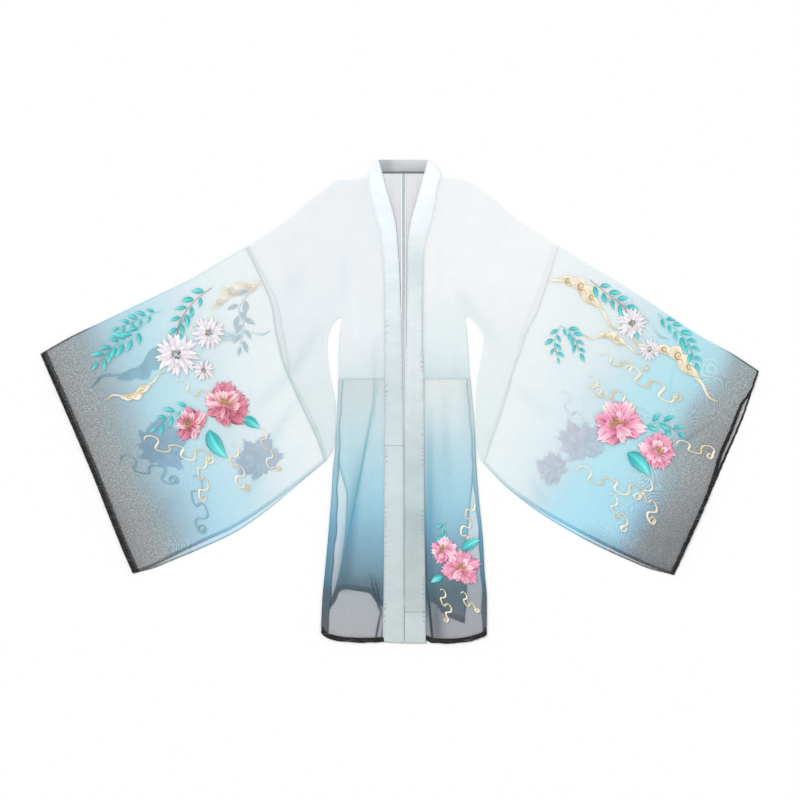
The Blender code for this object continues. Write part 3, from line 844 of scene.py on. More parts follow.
# Painted shade along the lower seam, on the grey part of the right sleeve.
low_seam_shade = low_edge.until(0.012, 0.055) * right * reach.until(0.16, 0.26)
dyed = dyed.deepened((0.60, 0.68, 0.72), low_seam_shade)
beside = low_edge.away_from(0.0078)
rims = low_edge.until(0.0010, 0.0026) + beside.until(0.0006, 0.0020) * 0.6
dyed = dyed.deepened(dyed, strip).deepened((0.86, 0.92, 0.93), strip)
dyed = dyed.deepened(dyed, rims).deepened((0.54, 0.66, 0.67), rims)
# By the cuff the fold at the top is a dark line, and the hem's raw edge shows beneath the left.
fold_line = place.mark("high_edge").until(0.0018, 0.0044) * reach.until(0.10, 0.17)
turned_in = place.mark("by_hem").until(0.0128, 0.0158) * (1 - right)
dyed = dyed.deepened((0.24, 0.25, 0.26), fold_line).deepened((0.22, 0.22, 0.23), turned_in)
cover = SLEEVE_COVER + rings * 0.10 + strip * 0.16 + rims * 0.22
cover = cover + fold_line * 0.34 + turned_in * 0.36
line = 0.55 - right * 0.43
sheer(surface, place, dyed, cover, streaks, 0.14 + grey_zone * 0.80, line, BODICE_FOLD_SHADE)

cuff_edges = {}
for side, out in OUT.items():
    tops = np.array([row[:2] for row in SLEEVE[side]])
    bottoms = np.array([row[2:4] for row in SLEEVE[side]])
    short = np.array([row[4] for row in SLEEVE[side]])[:, None]
    for layer in ("back", "front"):
        front = layer == "front"
        drop = tops - bottoms
        lows = bottoms + (drop / np.hypot(*drop.T)[:, None] * short if front else 0.0)
        ends = []
        for edge in (tops, lows):
            back = edge[-2] - edge[-1]
            ends.append(edge[-1] + back / hypot(*back) * CUFF_TUCK)
        near, far = np.vstack((tops[:-1], ends[0])), np.vstack((lows[:-1], ends[1]))
        cuff = CUFF_BOW[side][layer]
        grid = laid_out(near, far, SLEEVE_ACROSS, SEAM_BOW[side], cuff, out)
        x, y = grid[..., 0], grid[..., 1]
        if front:
            inside = np.minimum(from_line(x, y, near), from_line(x, y, grid[0]))
            lift, doubled_and_shaded = folded(x, y)
            free = 1 - np.exp(-inside / LIFT_REACH)
            rise = settled(LIFT + RIPPLE * ripple(x, y, 11) + lift)
            join = np.exp(-from_line(x, y, grid[0]) / JOIN_FADE)
            low = np.exp(-from_line(x, y, far) / LOW_FADE)
            z = FRONT_LEVEL + free * rise * (1 - 0.6 * low)
            z = z * (1 - join) + JOIN_LEVEL * join
        else:
            z, doubled_and_shaded = back_height(x, y), np.zeros(x.shape)
        marks = seam_marks(grid, doubled_and_shaded, far=False, last=False)
        marks["dye"], down = cuff_distance(x, y, side)
        marks["low"] = softly((down - 0.28) / 0.20) * (1.0 if out > 0 else 0.3)
        over, along = across_of(grid), run_of(grid)
        marks["low_edge"] = (over[:, -1:] - over) * (1.3 if front else 2.4)
        marks["high_edge"] = over
        marks["by_hem"] = along[-1:] - along
        lower = 1.0 if out > 0 else softly((down - 0.34) / 0.14)
        marks["rings"] = np.clip(1.2 - np.abs(marks["dye"] - 0.135) / 0.085, 0, 1) * lower
        points = np.dstack((x, y, z))
        piece = sheet_piece(f"sleeve_{layer}_cloth_{side}", points, sleeve_organza, marks)
        under = f"sleeve_back_cloth_{side}" if front else "floor"
        lay(piece, [f"sleeve_{layer}_{side}"], "sleeve_organza", grid, SLEEVE_FLAT, [under])
        last = laid_out(tops[-2:], lows[-2:], SLEEVE_ACROSS, last_bow=cuff, out=out)[-1]
        cuff_edges[layer, side] = points[-6], points[-1], last

# ---------------------------------------------------------------------------------------
# The cuff hems: a narrow double strip of near-black organza along each open cuff edge,
# folded over the raw edge and stitched down.

HEM_THICKNESS = 0.0014
CUFF_HEM_FLAT = (0.0125, 0.61)


def strip_between(first, last, count):
    """A grid of points from one line of points to another."""
    share = np.linspace(0.0, 1.0, count + 1)[:, None, None]
    return first[None] * (1 - share) + last[None] * share


def rounded(grid, thickness, edge=0.0022, first=True, last=True):
    """How thick a flattened double strip is at each point: none at its rim, full inside."""
    down, over = run_of(grid), across_of(grid)
    rims = [over, over[:, -1:] - over] + [down] * first + [down[-1:] - down] * last
    part = np.clip(np.min(rims, axis=0) / edge, 0, 1)
    return thickness * np.sqrt(np.clip(1 - (1 - part) ** 2, 0, 1))


def fine_ends(count):
    """Shares from 0 to 1 that lie closer together near the ends."""
    return (1 - np.cos(pi * np.linspace(0.0, 1.0, count + 1))) / 2


def double_strip(name, first, last, level, thickness, finish, across=8, marks=()):
    """A closed strip of folded cloth between two lines of (x, y) points, about a level."""
    share = fine_ends(across)[:, None, None]
    grid = first[None, :, :2] * (1 - share) + last[None, :, :2] * share
    half = rounded(grid, thickness) / 2
    down = run_of(grid)
    marks = {"edge": np.minimum(down, down[-1:] - down), **dict(marks)}
    marks = {mark: np.broadcast_to(v, half.shape) for mark, v in marks.items()}
    return sheet_piece(name, np.dstack((grid, level + half)), finish, marks, level - half), grid


DARK = dict(Roughness=0.62, Sheen_Weight=0.2, Specular_IOR_Level=0.25)
hem_cloth, surface, place = new_finish("dark hem", **DARK)
weave = linen(place)
black = place.cloudy(30.0, 3.0).ramp([(0.25, tone(4, 5, 6)), (0.8, tone(26, 26, 29))])
black = black.mixed(tone(10, 30, 38), place.mark("teal") * 0.9)
frayed = place.fibres(26.0, 420.0, 3.0, 0.7)
black = black.mixed(tone(104, 104, 106), frayed.within(0.54, 0.66) * (1 - place.mark("teal")) * 0.7)
black = black.deepened(weave.grey(0.35, 1.6), 0.5)
# Painted shade along the strip's folded edges.
edge_shade = place.mark("edge").until(0.0003, 0.0014)
black = black.deepened((0.35, 0.35, 0.35), edge_shade * 0.5)
feed(surface, Base_Color=black, Alpha=0.96 + (weave - 0.5) * 0.07 + place.mark("teal") * 0.04)
raise_threads(surface, place, 0.5, 0.0005, weave)

for side, out in OUT.items():
    for layer in ("back", "front"):
        inner, seam, last = cuff_edges[layer, side]
        away = inner[:, :2] - last
        away = away / np.hypot(*away.T)[:, None]
        share = np.linspace(0, 1, len(last))
        width = eased(*zip(*CUFF_HEM[layer, side]), share)
        crumpled = np.sin(share * 150 + 3 * np.sin(share * 31)) * np.sin(share * 57 + out)
        last = last + away * (0.0007 * (crumpled + 0.6) * (1.0 if out > 0 else 0.4))[:, None]
        first = last + away * (width + 0.0004 * np.sin(share * 110 + 2)[:, None])
        rise = ripple(last[:, 0], last[:, 1], 5, 0.02, 0.06) * 0.0003
        level = (seam[:, 2] if layer == "front" else np.full(len(seam), 0.0009)) + np.abs(rise)
        name = f"cuff_hem_cloth_{layer}_{side}"
        piece, grid = double_strip(name, first, last, level, HEM_THICKNESS, hem_cloth)
        under = [f"cuff_hem_cloth_back_{side}"] if layer == "front" else ["floor"]
        lay(piece, [f"cuff_hem_{layer}_{side}"], "dark_hem", grid, CUFF_HEM_FLAT, under, "folded")

# ---------------------------------------------------------------------------------------
# The back skirts: two organza panels sewn down the centre back and at the waist. Their
# lower edge rises to a ragged arch, and a dark strip is sewn along it.

# A section of the back skirt: its height at the centre seam, and its side edge x, y.
BACK_SKIRT = {
    "left": (
        (WAIST, -0.155, WAIST),
        (-0.046, -0.156, -0.046),
        (-0.136, -0.156, -0.136),
        (-0.206, -0.141, -0.206),
        (-0.234, -0.135, -0.234),
        (-0.309, -0.137, -0.309),
        (-0.389, -0.146, -0.389),
        (-0.440, -0.159, -0.450),
        (-0.494, -0.177, -0.507),
    ),
    "right": (
        (WAIST, 0.174, WAIST),
        (-0.046, 0.181, -0.046),
        (-0.136, 0.184, -0.136),
        (-0.234, 0.177, -0.234),
        (-0.321, 0.169, -0.321),
        (-0.400, 0.166, -0.411),
        (-0.450, 0.166, -0.480),
        (-0.494, 0.161, -0.543),
    ),
}
BACK_HEM_BOW = {
    "left": ((0.27, 0.001), (0.42, -0.031), (0.62, -0.041), (0.78, -0.047), (0.90, -0.039)),
    "right": ((0.37, -0.028), (0.52, -0.025), (0.70, -0.006)),
}
HEM = 0.012
BACK_HEM_THICKNESS = 0.0011
BACK_HEM_FLAT = (0.016, 0.24)
SKIRT_ACROSS = 88
BACK_SKIRT_FLAT = (0.19, 0.60)
# The tint of the painted shade in the skirts' folds.
SKIRT_FOLD_SHADE = (0.28, 0.54, 0.56)
SKIRT_SEAM = ((0.0014, 0.0036), (0.22, 0.38, 0.42))
BACK_SKIRT_SEAM = ((0.0024, 0.0050), SKIRT_SEAM[1])

# The back skirt's dye by height.
BACK_SKIRT_DYE = (
    (-0.560, (60, 92, 104)), (-0.500, (60, 96, 108)), (-0.455, (76, 116, 128)),
    (-0.434, (103, 156, 171)), (-0.396, (100, 178, 204)), (-0.346, (121, 184, 202)),
    (-0.296, (142, 211, 226)), (-0.246, (150, 224, 243)), (-0.146, (187, 231, 246)),
    (-0.046, (217, 240, 241)), (0.044, (225, 231, 230)),
)


def paler_right(dyed, place, height):
    """The dye, but paler on the right skirt below the waist, most of all away from its side."""
    x = place.along("X")
    right = x.within(0.0, 0.08) * (1 - x.within(0.135, 0.168) * 0.7)
    return dyed.mixed((1.0, 1.0, 1.0), right * height.within(-0.14, 0.03) * 0.40)


back_skirt_organza, surface, place = new_finish("back skirt organza", **ORGANZA)
height = place.height(0.05, 7.0, 3.0)
by_hem = place.mark("hem").until(0.0, 0.045)
dyed = height.dyed(BACK_SKIRT_DYE).mixed(tone(70, 104, 116), by_hem * 0.55)
cover = 0.54 + height.until(-0.36, -0.20) * 0.18
dyed = paler_right(dyed, place, height)
weave = linen(place) * 0.5 + place.fibres(60.0, 9.0, 3.0) * 0.5
sheer(surface, place, dyed, cover, weave, 0.22, 1.0, SKIRT_FOLD_SHADE, seam=BACK_SKIRT_SEAM)


def moved_down(line, distance):
    """A line of points moved square to itself, to its -Y side, and its ends straight down."""
    square = square_to(line) * np.sign(np.gradient(line[:, :1], axis=0))
    share = softly(np.minimum(np.arange(len(line)), np.arange(len(line))[::-1]) / 3)[:, None]
    square = square * share + np.array((0.0, -1.0)) * (1 - share)
    return line[:, :2] + square * distance


for side, out in OUT.items():
    near = [(CENTRE_SEAM, row[0]) for row in BACK_SKIRT[side]]
    far = [row[1:] for row in BACK_SKIRT[side]]
    grid = laid_out(near, far, SKIRT_ACROSS, last_bow=BACK_HEM_BOW[side], out=-out)
    x, y = grid[..., 0], grid[..., 1]
    down = run_of(grid)
    marks = seam_marks(grid, np.zeros(x.shape), near=False, first=False, last=False)
    marks["hem"] = down[-1:] - down
    points = np.dstack((x, y, back_height(x, y)))
    piece = sheet_piece(f"back_skirt_cloth_{side}", points, back_skirt_organza, marks)
    lay(piece, [f"back_skirt_{side}"], "skirt_organza", grid, BACK_SKIRT_FLAT, ["floor"])

    # The strip is ragged where its thread has drawn up, most of all near the centre.
    first = grid[-1] + (grid[-2] - grid[-1]) * 0.4
    last = moved_down(grid[-1], HEM)
    run = run_of(last)
    ragged = np.sin(run * tau / 0.0105 + 2 * np.sin(run * 90)) * np.sin(run * 41 + 1)
    ragged *= np.sin(pi * np.linspace(0, 1, len(run))) ** 0.5
    last[:, 1] += ragged * (0.0026 if out > 0 else 0.0009)
    first, last = (through(line, 150) for line in (first, last))
    level = 0.0010 + 0.0004 * np.abs(np.sin(run_of(last) * tau / 0.021 + np.sin(run_of(last) * 50)))
    name = f"hem_cloth_back_{side}"
    teal = {"teal": 1.0}
    piece, grid = double_strip(name, first, last, level, BACK_HEM_THICKNESS, hem_cloth, 6, teal)
    lay(piece, [f"hem_back_{side}"], "dark_hem", grid, BACK_HEM_FLAT, ["floor"], "folded")

# ---------------------------------------------------------------------------------------
# The front skirts: an organza panel on each side, from the waist to the hem. Each open
# side is folded under in a strip of uneven width, which shows through, and stitched.

# A section of the front skirt: its height at the band, its side fold x, y, and the width
# that is turned under there.
FRONT_SKIRT = {
    "left": (
        (WAIST, -0.155, WAIST, 0.0100),
        (-0.046, -0.160, -0.046, 0.0100),
        (-0.111, -0.163, -0.111, 0.0110),
        (-0.171, -0.169, -0.171, 0.0128),
        (-0.246, -0.174, -0.246, 0.0164),
        (-0.346, -0.182, -0.346, 0.0186),
        (-0.421, -0.189, -0.421, 0.0193),
        (-0.496, -0.196, -0.496, 0.0188),
        (-0.589, -0.199, -0.559, 0.0178),
    ),
    "right": (
        (WAIST, 0.174, WAIST, 0.010),
        (-0.046, 0.184, -0.046, 0.010),
        (-0.111, 0.187, -0.111, 0.010),
        (-0.171, 0.190, -0.171, 0.010),
        (-0.246, 0.196, -0.246, 0.009),
        (-0.346, 0.206, -0.346, 0.009),
        (-0.421, 0.210, -0.421, 0.010),
        (-0.496, 0.216, -0.496, 0.012),
        (-0.581, 0.216, -0.560, 0.010),
    ),
}
FRONT_HEM_BOW = {
    "left": ((0.19, 0.0070), (0.36, 0.0127), (0.52, 0.0163), (0.69, 0.0188), (0.85, 0.0172)),
    "right": ((0.15, 0.014), (0.59, 0.022), (0.90, 0.016)),
}
FRONT_SKIRT_FLAT = (0.20, 0.67)
TURN_RADIUS = 0.00055
TURN_RISE = 0.0009
TURN_WAVE = 0.0022
TURN_POINTS = 7
STRIP_POINTS = 12

# Folds of the skirts, in the same terms as those above. Some are mostly painted shade: the broad
# ones beside the deep folds, and the dark lines along the right band's outer edge, which are its
# painted shadow.
SKIRT_FOLDS = np.array(
    (
        (-0.0507, 0.080, -0.1668, -0.530, 0.000, 0.0040, -0.0022, 0.80),
        (-0.0645, 0.120, -0.0675, -0.060, 0.000, 0.0030, -0.0012, 0.45),
        (-0.096, -0.100, -0.152, -0.540, 0.000, 0.0165, -0.0012, 0.50),
        (-0.078, -0.420, -0.042, -0.545, 0.003, 0.0024, -0.0018, 0.90),
        (-0.068, -0.430, -0.047, -0.530, -0.002, 0.0022, -0.0016, 0.80),
        (-0.060, -0.430, -0.052, -0.560, 0.002, 0.0022, 0.0020, 0.00),
        (-0.043, -0.500, -0.066, -0.625, 0.002, 0.0022, -0.0014, 0.80),
        (-0.040, -0.540, -0.052, -0.640, 0.001, 0.0022, -0.0012, 0.60),
        (0.0622, -0.180, 0.0668, -0.560, 0.000, 0.0028, -0.0018, 1.00),
        (0.0655, -0.440, 0.0840, -0.640, 0.000, 0.0030, -0.0024, 1.00),
        (0.0835, -0.430, 0.0950, -0.660, 0.000, 0.0160, -0.0010, 0.30),
        (-0.072, -0.080, -0.094, -0.420, 0.004, 0.013, 0.0026, 0.00),
        (-0.118, 0.030, -0.132, -0.300, 0.006, 0.014, 0.0018, 0.00),
        (-0.060, -0.300, -0.066, -0.580, 0.002, 0.010, 0.0016, 0.00),
        (0.074, 0.000, 0.076, -0.590, 0.002, 0.017, -0.0016, 0.50),
        (0.086, -0.020, 0.090, -0.560, -0.003, 0.010, 0.0024, 0.00),
        (0.112, 0.040, 0.124, -0.260, 0.006, 0.014, -0.0014, 0.16),
        (0.144, 0.000, 0.160, -0.420, -0.006, 0.016, 0.0016, 0.00),
        (0.130, -0.300, 0.126, -0.580, 0.004, 0.014, 0.0014, 0.00),
    )
)

# The front skirt's dye by height.
FRONT_SKIRT_DYE = (
    (-0.600, (118, 120, 126)), (-0.571, (120, 122, 134)), (-0.521, (115, 127, 138)),
    (-0.471, (104, 127, 140)), (-0.434, (124, 155, 173)), (-0.396, (147, 171, 188)),
    (-0.346, (157, 194, 217)), (-0.296, (165, 208, 229)), (-0.246, (179, 217, 231)),
    (-0.146, (195, 225, 236)), (-0.046, (206, 229, 236)), (0.044, (212, 229, 232)),
)

front_skirt_organza, surface, place = new_finish("front skirt organza", **ORGANZA)
height = place.height(0.045, 8.0, 3.0)
weave = linen(place)
low = height.until(-0.50, -0.36)
streaks = (weave - 0.5) * (0.7 + low * 1.2) + 0.5
turned = place.mark("turned")
dyed = height.dyed(FRONT_SKIRT_DYE)
dyed = paler_right(dyed, place, height)
dyed = dyed.deepened(dyed, turned * height.until(-0.12, 0.0))
dyed = dyed.deepened((0.58, 0.96, 0.95), turned * height.until(-0.25, -0.10))
middle = height.within(-0.50, -0.44) * height.until(-0.34, -0.26)
dyed = dyed.mixed(tone(40, 128, 158), turned * middle * 0.82)
dyed = dyed.deepened((0.34, 0.35, 0.34), turned * height.until(-0.52, -0.45))
by_side = place.mark("side").until(0.008, 0.012)
dyed = dyed.deepened((0.66, 0.97, 1.0), by_side * middle)
lip = place.mark("lip").until(0.0005, 0.0022) * place.along("X").until(-0.02, 0.0)
dyed = dyed.deepened((0.42, 0.62, 0.68), lip * height.until(-0.20, -0.08))
rim = place.mark("side").until(0.0010, 0.0030)
rim = rim * (1 - height.within(-0.16, 0.0) * (0.5 + place.along("X").within(0.0, 0.08) * 0.38))
dyed = dyed.deepened((0.40, 0.58, 0.62), rim * (1 - turned) * 0.9)
cover = 0.41 + turned * 0.36 + rim * 0.22
cover = cover + low * (0.035 + place.along("X").within(0.0, 0.08) * 0.055)
sheer(surface, place, dyed, cover, streaks, 0.12 + low * 0.25, 1.0, SKIRT_FOLD_SHADE, 0.75, SKIRT_SEAM)

hem_lines = {}
for side, out in OUT.items():
    rows, band = np.array(FRONT_SKIRT[side]), np.array(BAND[side])
    near_x = eased(-band[:, 1], band[:, 0], -rows[:, 0])[:, 0] - CAUGHT_IN_BAND * out
    near, far = np.stack((near_x, rows[:, 0]), 1), rows[:, 1:3]
    grid = laid_out(near, far, SKIRT_ACROSS, last_bow=FRONT_HEM_BOW[side], out=-out)
    fold_line = grid[:, -1]
    turn = eased(-rows[:, 2], rows[:, 3], -fold_line[:, 1])[:, 0]
    turn = turn + TURN_WAVE * np.sin(fold_line[:, 1] * 60 + out) * np.sin(fold_line[:, 1] * 23)
    start, end = grid[:, :1, 0], fold_line[:, None, 0]
    grid[:, :, 0] += (start - grid[:, :, 0]) / (end - start) * TURN_RADIUS * out
    x, y = grid[..., 0], grid[..., 1]
    inside = (fold_line[:, None, 0] - x) * out
    top = np.abs(y - WAIST)
    lift, doubled_and_shaded = folded(x, y, SKIRT_FOLDS)
    doubled_and_shaded = doubled_and_shaded * (1 - softly((-0.462 - y) / 0.02) * softly((-0.085 - x) / 0.02))
    ends = (1 - np.exp(-top / 0.02)) * (1 - np.exp(-inside / 0.012))
    rise = settled(LIFT * 0.7 + 0.0005 * ripple(x, y, 17) + lift)
    over = softly((turn[:, None] + 0.030 - inside) / 0.026) * TURN_RISE
    z = FRONT_LEVEL + ends * rise + over
    around = np.linspace(0, pi, TURN_POINTS + 1)[1:]
    bend_x = fold_line[:, None, 0] + (np.sin(around) - 1) * TURN_RADIUS * out
    bend_z = z[:, -1:] + (np.cos(around) - 1) * TURN_RADIUS
    strip = np.linspace(0, 1, STRIP_POINTS + 1)[None, 1:]
    strip_x = bend_x[:, -1:] - strip * (turn[:, None] - TURN_RADIUS) * out
    strip_z = np.repeat(bend_z[:, -1:], STRIP_POINTS, 1)
    rows_across = zip(strip_x * out, x * out, y)
    strip_y = np.stack([np.interp(at, row_x, row_y) for at, row_x, row_y in rows_across])
    x = np.hstack((x, bend_x, strip_x))
    y = np.hstack((y, np.repeat(y[:, -1:], TURN_POINTS, 1), strip_y))
    z = np.hstack((z, bend_z, strip_z))
    points = np.dstack((x, y, z))
    doubled_and_shaded = np.hstack((doubled_and_shaded, np.zeros((len(doubled_and_shaded), TURN_POINTS + STRIP_POINTS))))
    marks = seam_marks(points, doubled_and_shaded, near=False, first=False, last=False)
    marks["turned"] = np.broadcast_to(np.arange(points.shape[1]) > SKIRT_ACROSS + 3, doubled_and_shaded.shape)
    marks["side"] = np.abs((fold_line[:, None, 0] - x) * out)
    marks["lip"] = np.abs(marks["side"] - turn[:, None])
    piece = sheet_piece(f"front_skirt_cloth_{side}", points, front_skirt_organza, marks)
    under = [f"back_skirt_cloth_{side}", "floor"]
    lay(piece, [f"front_skirt_{side}"], "skirt_organza", points[..., :2], FRONT_SKIRT_FLAT, under)
    hem_lines[side] = points[-1, : SKIRT_ACROSS + 1], points[-2, : SKIRT_ACROSS + 1]

# ---------------------------------------------------------------------------------------
# The front hems: a narrow double strip of dark organza along the lower edge of each front
# skirt, which turns a small rounded corner inside the side fold.

FRONT_HEM_FLAT = (0.016, 0.17)
CORNER = 0.006

for side, out in OUT.items():
    line, above = hem_lines[side]
    up = (above - line)[:, :2]
    first = line[:, :2] + up / np.hypot(*up.T)[:, None] * 0.0006
    last = moved_down(line, HEM)
    corner = np.clip(1 - run_of(line[::-1])[::-1] / CORNER, 0, 1)
    last[:, 1] += 0.004 * corner**2
    last[:, 0] = np.minimum(last[:, 0] * out, line[-1, 0] * out - 0.0006 * corner) * out
    run = run_of(last)
    last[:, 1] += 0.0006 * np.sin(run * 150 + 2 * np.sin(run * 31))
    level = line[:, 2] + 0.0002 * np.sin(run * 170)
    name = f"hem_cloth_front_{side}"
    piece, grid = double_strip(name, first, last, level, HEM_THICKNESS, hem_cloth, 6)
    under = [f"hem_cloth_back_{side}", "floor"]
    lay(piece, [f"hem_front_{side}"], "dark_hem", grid, FRONT_HEM_FLAT, under, "folded")

# ---------------------------------------------------------------------------------------
# The collar: a wide band of white satin folded double over the edge of each front, from the
# neck to the hem, and pieced lower down. Stitches draw its edges into small puckers, with
# painted shade in their valleys and along the folded edge. The back of the neck is a strip
# of the same satin, painted grey as shade, whose ends lie under the fronts' tops.

BAND_JOIN = {"left": 9, "right": 12}
BAND_LEVEL = 0.0028
BAND_THICKNESS = 0.0024
BAND_ACROSS = 16
BAND_STEP = 0.0026
BAND_WIDTH = 0.052
PUCKER_LINE = 0.0048
PUCKER_PITCH = 0.0112
PUCKER_RISE = 0.00028
NECK_TOP = 0.604
NECK_FLAT = (0.036, 0.19)
NECK_LEVEL = 0.0009
NECK_THICKNESS = 0.0012

# The band's colour by height: its dye, with painted shade from its folds and wrinkles at some
# heights, most of all on the right.
BAND_DYE_AND_SHADE = {
    "left": (
        (-0.604, (196, 206, 207)), (-0.470, (196, 206, 208)), (-0.300, (199, 211, 212)),
        (-0.220, (203, 216, 219)), (-0.096, (205, 219, 223)), (0.029, (203, 217, 221)),
        (0.154, (217, 226, 232)), (0.341, (228, 237, 242)), (0.420, (236, 243, 248)),
        (0.604, (244, 249, 252)),
    ),
    "right": (
        (-0.604, (194, 203, 205)), (-0.545, (199, 209, 211)), (-0.518, (184, 194, 196)),
        (-0.480, (181, 192, 193)), (-0.409, (183, 194, 195)), (-0.290, (175, 190, 193)),
        (-0.240, (190, 206, 209)), (-0.159, (189, 203, 206)), (0.029, (213, 223, 225)),
        (0.120, (220, 228, 232)), (0.240, (218, 229, 232)), (0.341, (209, 220, 224)),
        (0.410, (232, 238, 242)), (0.604, (248, 252, 255)),
    ),
}


def satin(surface, place, colour):
    """Finishes satin: a close sheen, fine ribs, and painted shade by its folded edge and in puckers."""
    ribs = place.fibres(90.0, 900.0, 2.0)
    patches = place.fibres(14.0, 30.0, 4.0, 0.55)
    mottled = patches.ramp([(0.3, (0.80, 0.82, 0.83)), (0.7, (1.05, 1.05, 1.05))])
    colour = colour.deepened(ribs.grey(0.72, 1.3), 0.30).deepened(mottled, 0.36)
    # Painted shade along the folded edge, fainter up by the shoulders.
    edge_shade = place.mark("edge").until(0.0004, 0.0024)
    edge_shade = edge_shade * (1 - place.along("Y").within(0.28, 0.40) * 0.85)
    colour = colour.deepened((0.52, 0.56, 0.58), edge_shade * 0.7)
    # Painted shade in the valleys of the puckers and at the band's join.
    colour = colour.deepened((0.42, 0.46, 0.49), place.mark("dip") * 0.9)
    feed(surface, Base_Color=colour, Roughness=(0.34 + (patches - 0.5) * 0.25))
    raise_threads(surface, place, 0.4, 0.0012, ribs * 0.4 + patches)


def band_parts(side, step=CLOTH_STEP):
    """The name and the grid of each of the two lengths that a side's band is pieced from."""
    join = BAND_JOIN[side]
    for name, rows in (("band", BAND[side][: join + 1]), ("band_lower", BAND[side][join:])):
        outer, inner = [row[:2] for row in rows], [row[2:] for row in rows]
        yield name, laid_out(outer, inner, BAND_ACROSS, step=step)


SATIN = dict(Sheen_Weight=0.15, Specular_IOR_Level=0.45, Alpha=0.96)
for side, out in OUT.items():
    band_satin, surface, place = new_finish(f"{side} band satin", **SATIN)
    satin(surface, place, place.height(0.05, 9.0).dyed(BAND_DYE_AND_SHADE[side]))
    for name, grid in band_parts(side, BAND_STEP):
        upper = name == "band"
        shares = fine_ends(BAND_ACROSS)[None, :, None]
        grid = grid[:, :1] * (1 - shares) + grid[:, -1:] * shares
        x, y = grid[..., 0], grid[..., 1]
        run, over = run_of(grid), across_of(grid)
        from_inner = over[:, -1:] - over

        beat = run * tau / PUCKER_PITCH + 2.4 * np.sin(run * 41 + out) + 1.5 * np.sin(run * 97)
        swell = np.sin(run * 17 + 2 * out) * np.sin(run * 39 + 1) + 0.25 * np.sin(run * 131)
        swell = 0.15 + 1.1 * np.abs(swell)
        pucker = np.sin(beat + over * 240) * swell * np.exp(-(((over - PUCKER_LINE) / 0.0032) ** 2))
        pucker += 0.5 * np.sin(beat * 0.83 + 2) * swell * np.exp(-from_inner / 0.006)

        flatter = 1 - softly((0.40 - y) / 0.14)
        half = rounded(grid, BAND_THICKNESS, BAND_STEP, first=upper, last=not upper) / 2
        half = half * (1 - 0.55 * flatter) * (0.3 + 0.7 * softly(from_inner / 0.014))
        lift = PUCKER_RISE * pucker * (half / half.max()) + 0.0005 * ripple(x, y, 41, 0.06, 0.3)
        lift = lift * np.where(lift > 0, 1.0, 0.3) * (1 - 0.6 * flatter)
        level = BAND_LEVEL - 0.0008 * flatter + lift

        # Painted shade: in the valleys of the puckers, and a faint line at the join.
        dip = np.clip(-1.1 * pucker - 0.15, 0, 1) * (0.25 + 0.75 * softly((0.30 - y) / 0.20))
        joined = run[-1:] - run if upper else run
        marks = {"edge": over, "dip": np.maximum(dip, 0.10 * np.exp(-((joined / 0.0014) ** 2)))}
        points = np.dstack((x, y, level + half))
        piece = sheet_piece(f"{name}_cloth_{side}", points, band_satin, marks, level - half)
        flat = (BAND_WIDTH, float(run[-1].mean()) + 0.01)
        under = [f"front_bodice_cloth_{side}", f"front_skirt_cloth_{side}"]
        lay(piece, [f"{name}_{side}"], "collar_satin", grid, flat, under, "folded")

neck_satin, surface, place = new_finish("neck satin", **SATIN)
streaks = place.fibres(14.0, 260.0, 3.0, 0.6) * 0.014 - 0.007
# The back of the neck is the white satin in painted shade: grey, darkest at its lower edge.
neck_shade = (
    (0.5735, (112, 116, 118)), (0.5765, (172, 177, 180)), (0.588, (190, 194, 197)),
    (0.604, (206, 210, 214)),
)
shaded_neck = (place.along("Y") + streaks).dyed(neck_shade)
# Darker again on the left, as painted shade.
satin(surface, place, shaded_neck.deepened((0.74, 0.76, 0.77), place.along("X").until(-0.034, -0.008)))
(left_top, left_low), (right_top, right_low) = BAND["left"][:2], BAND["right"][:2]
top = np.array([(left_top[2], NECK_TOP), (right_top[2], NECK_TOP)])
low = np.array([(left_low[0] + 0.003, NECK_SEAM), (right_low[0] - 0.003, NECK_SEAM)])
share = fine_ends(40)[:, None]
top, low = (ends[0] * (1 - share) + ends[1] * share for ends in (top, low))
piece, grid = double_strip("neck_cloth_back", top, low, NECK_LEVEL, NECK_THICKNESS, neck_satin, 12)
under = ["back_bodice_cloth_left", "back_bodice_cloth_right"]
lay(piece, ["collar_back"], "collar_satin", grid, NECK_FLAT, under, "folded")

# ---------------------------------------------------------------------------------------
# The seams: inside each sleeve seam the raw edges are turned to the body side, where they
# show through as a paler strip of uneven width. The centre back seam is bound with a narrow
# tape, and a machine stitch runs along the sleeve and side seams, the waist, the skirts'
# turned sides and the bands.

# How wide the seam's raw edges are: at this share of its length from the top, by this much.
ALLOWANCE = {
    "left": (
        (0.0, 0.006), (0.2, 0.012), (0.35, 0.018), (0.5, 0.016), (0.6, 0.006),
        (0.75, 0.010), (0.9, 0.009), (1.0, 0.005),
    ),
    "right": (
        (0.0, 0.012), (0.3, 0.016), (0.48, 0.008), (0.58, 0.004), (0.75, 0.007),
        (1.0, 0.004),
    ),
}
EDGES_LEVEL = 0.0017

seam_edges, surface, place = new_finish("seam edges", **ORGANZA)
weave = linen(place)
rim = place.mark("seam").until(0.0004, 0.0022)
edge_dye = ((-0.15, (214, 228, 228)), (0.10, (226, 236, 236)), (0.40, (236, 242, 243)))
colour = place.along("Y").dyed(edge_dye).mixed(tone(128, 142, 138), rim)
colour = colour.deepened(weave.grey(0.5, 1.5), 0.1)
strength = 1 - place.along("X").within(0.0, 0.1) * 0.6
feed(surface, Base_Color=colour, Alpha=(0.30 + rim * 0.42) * strength)

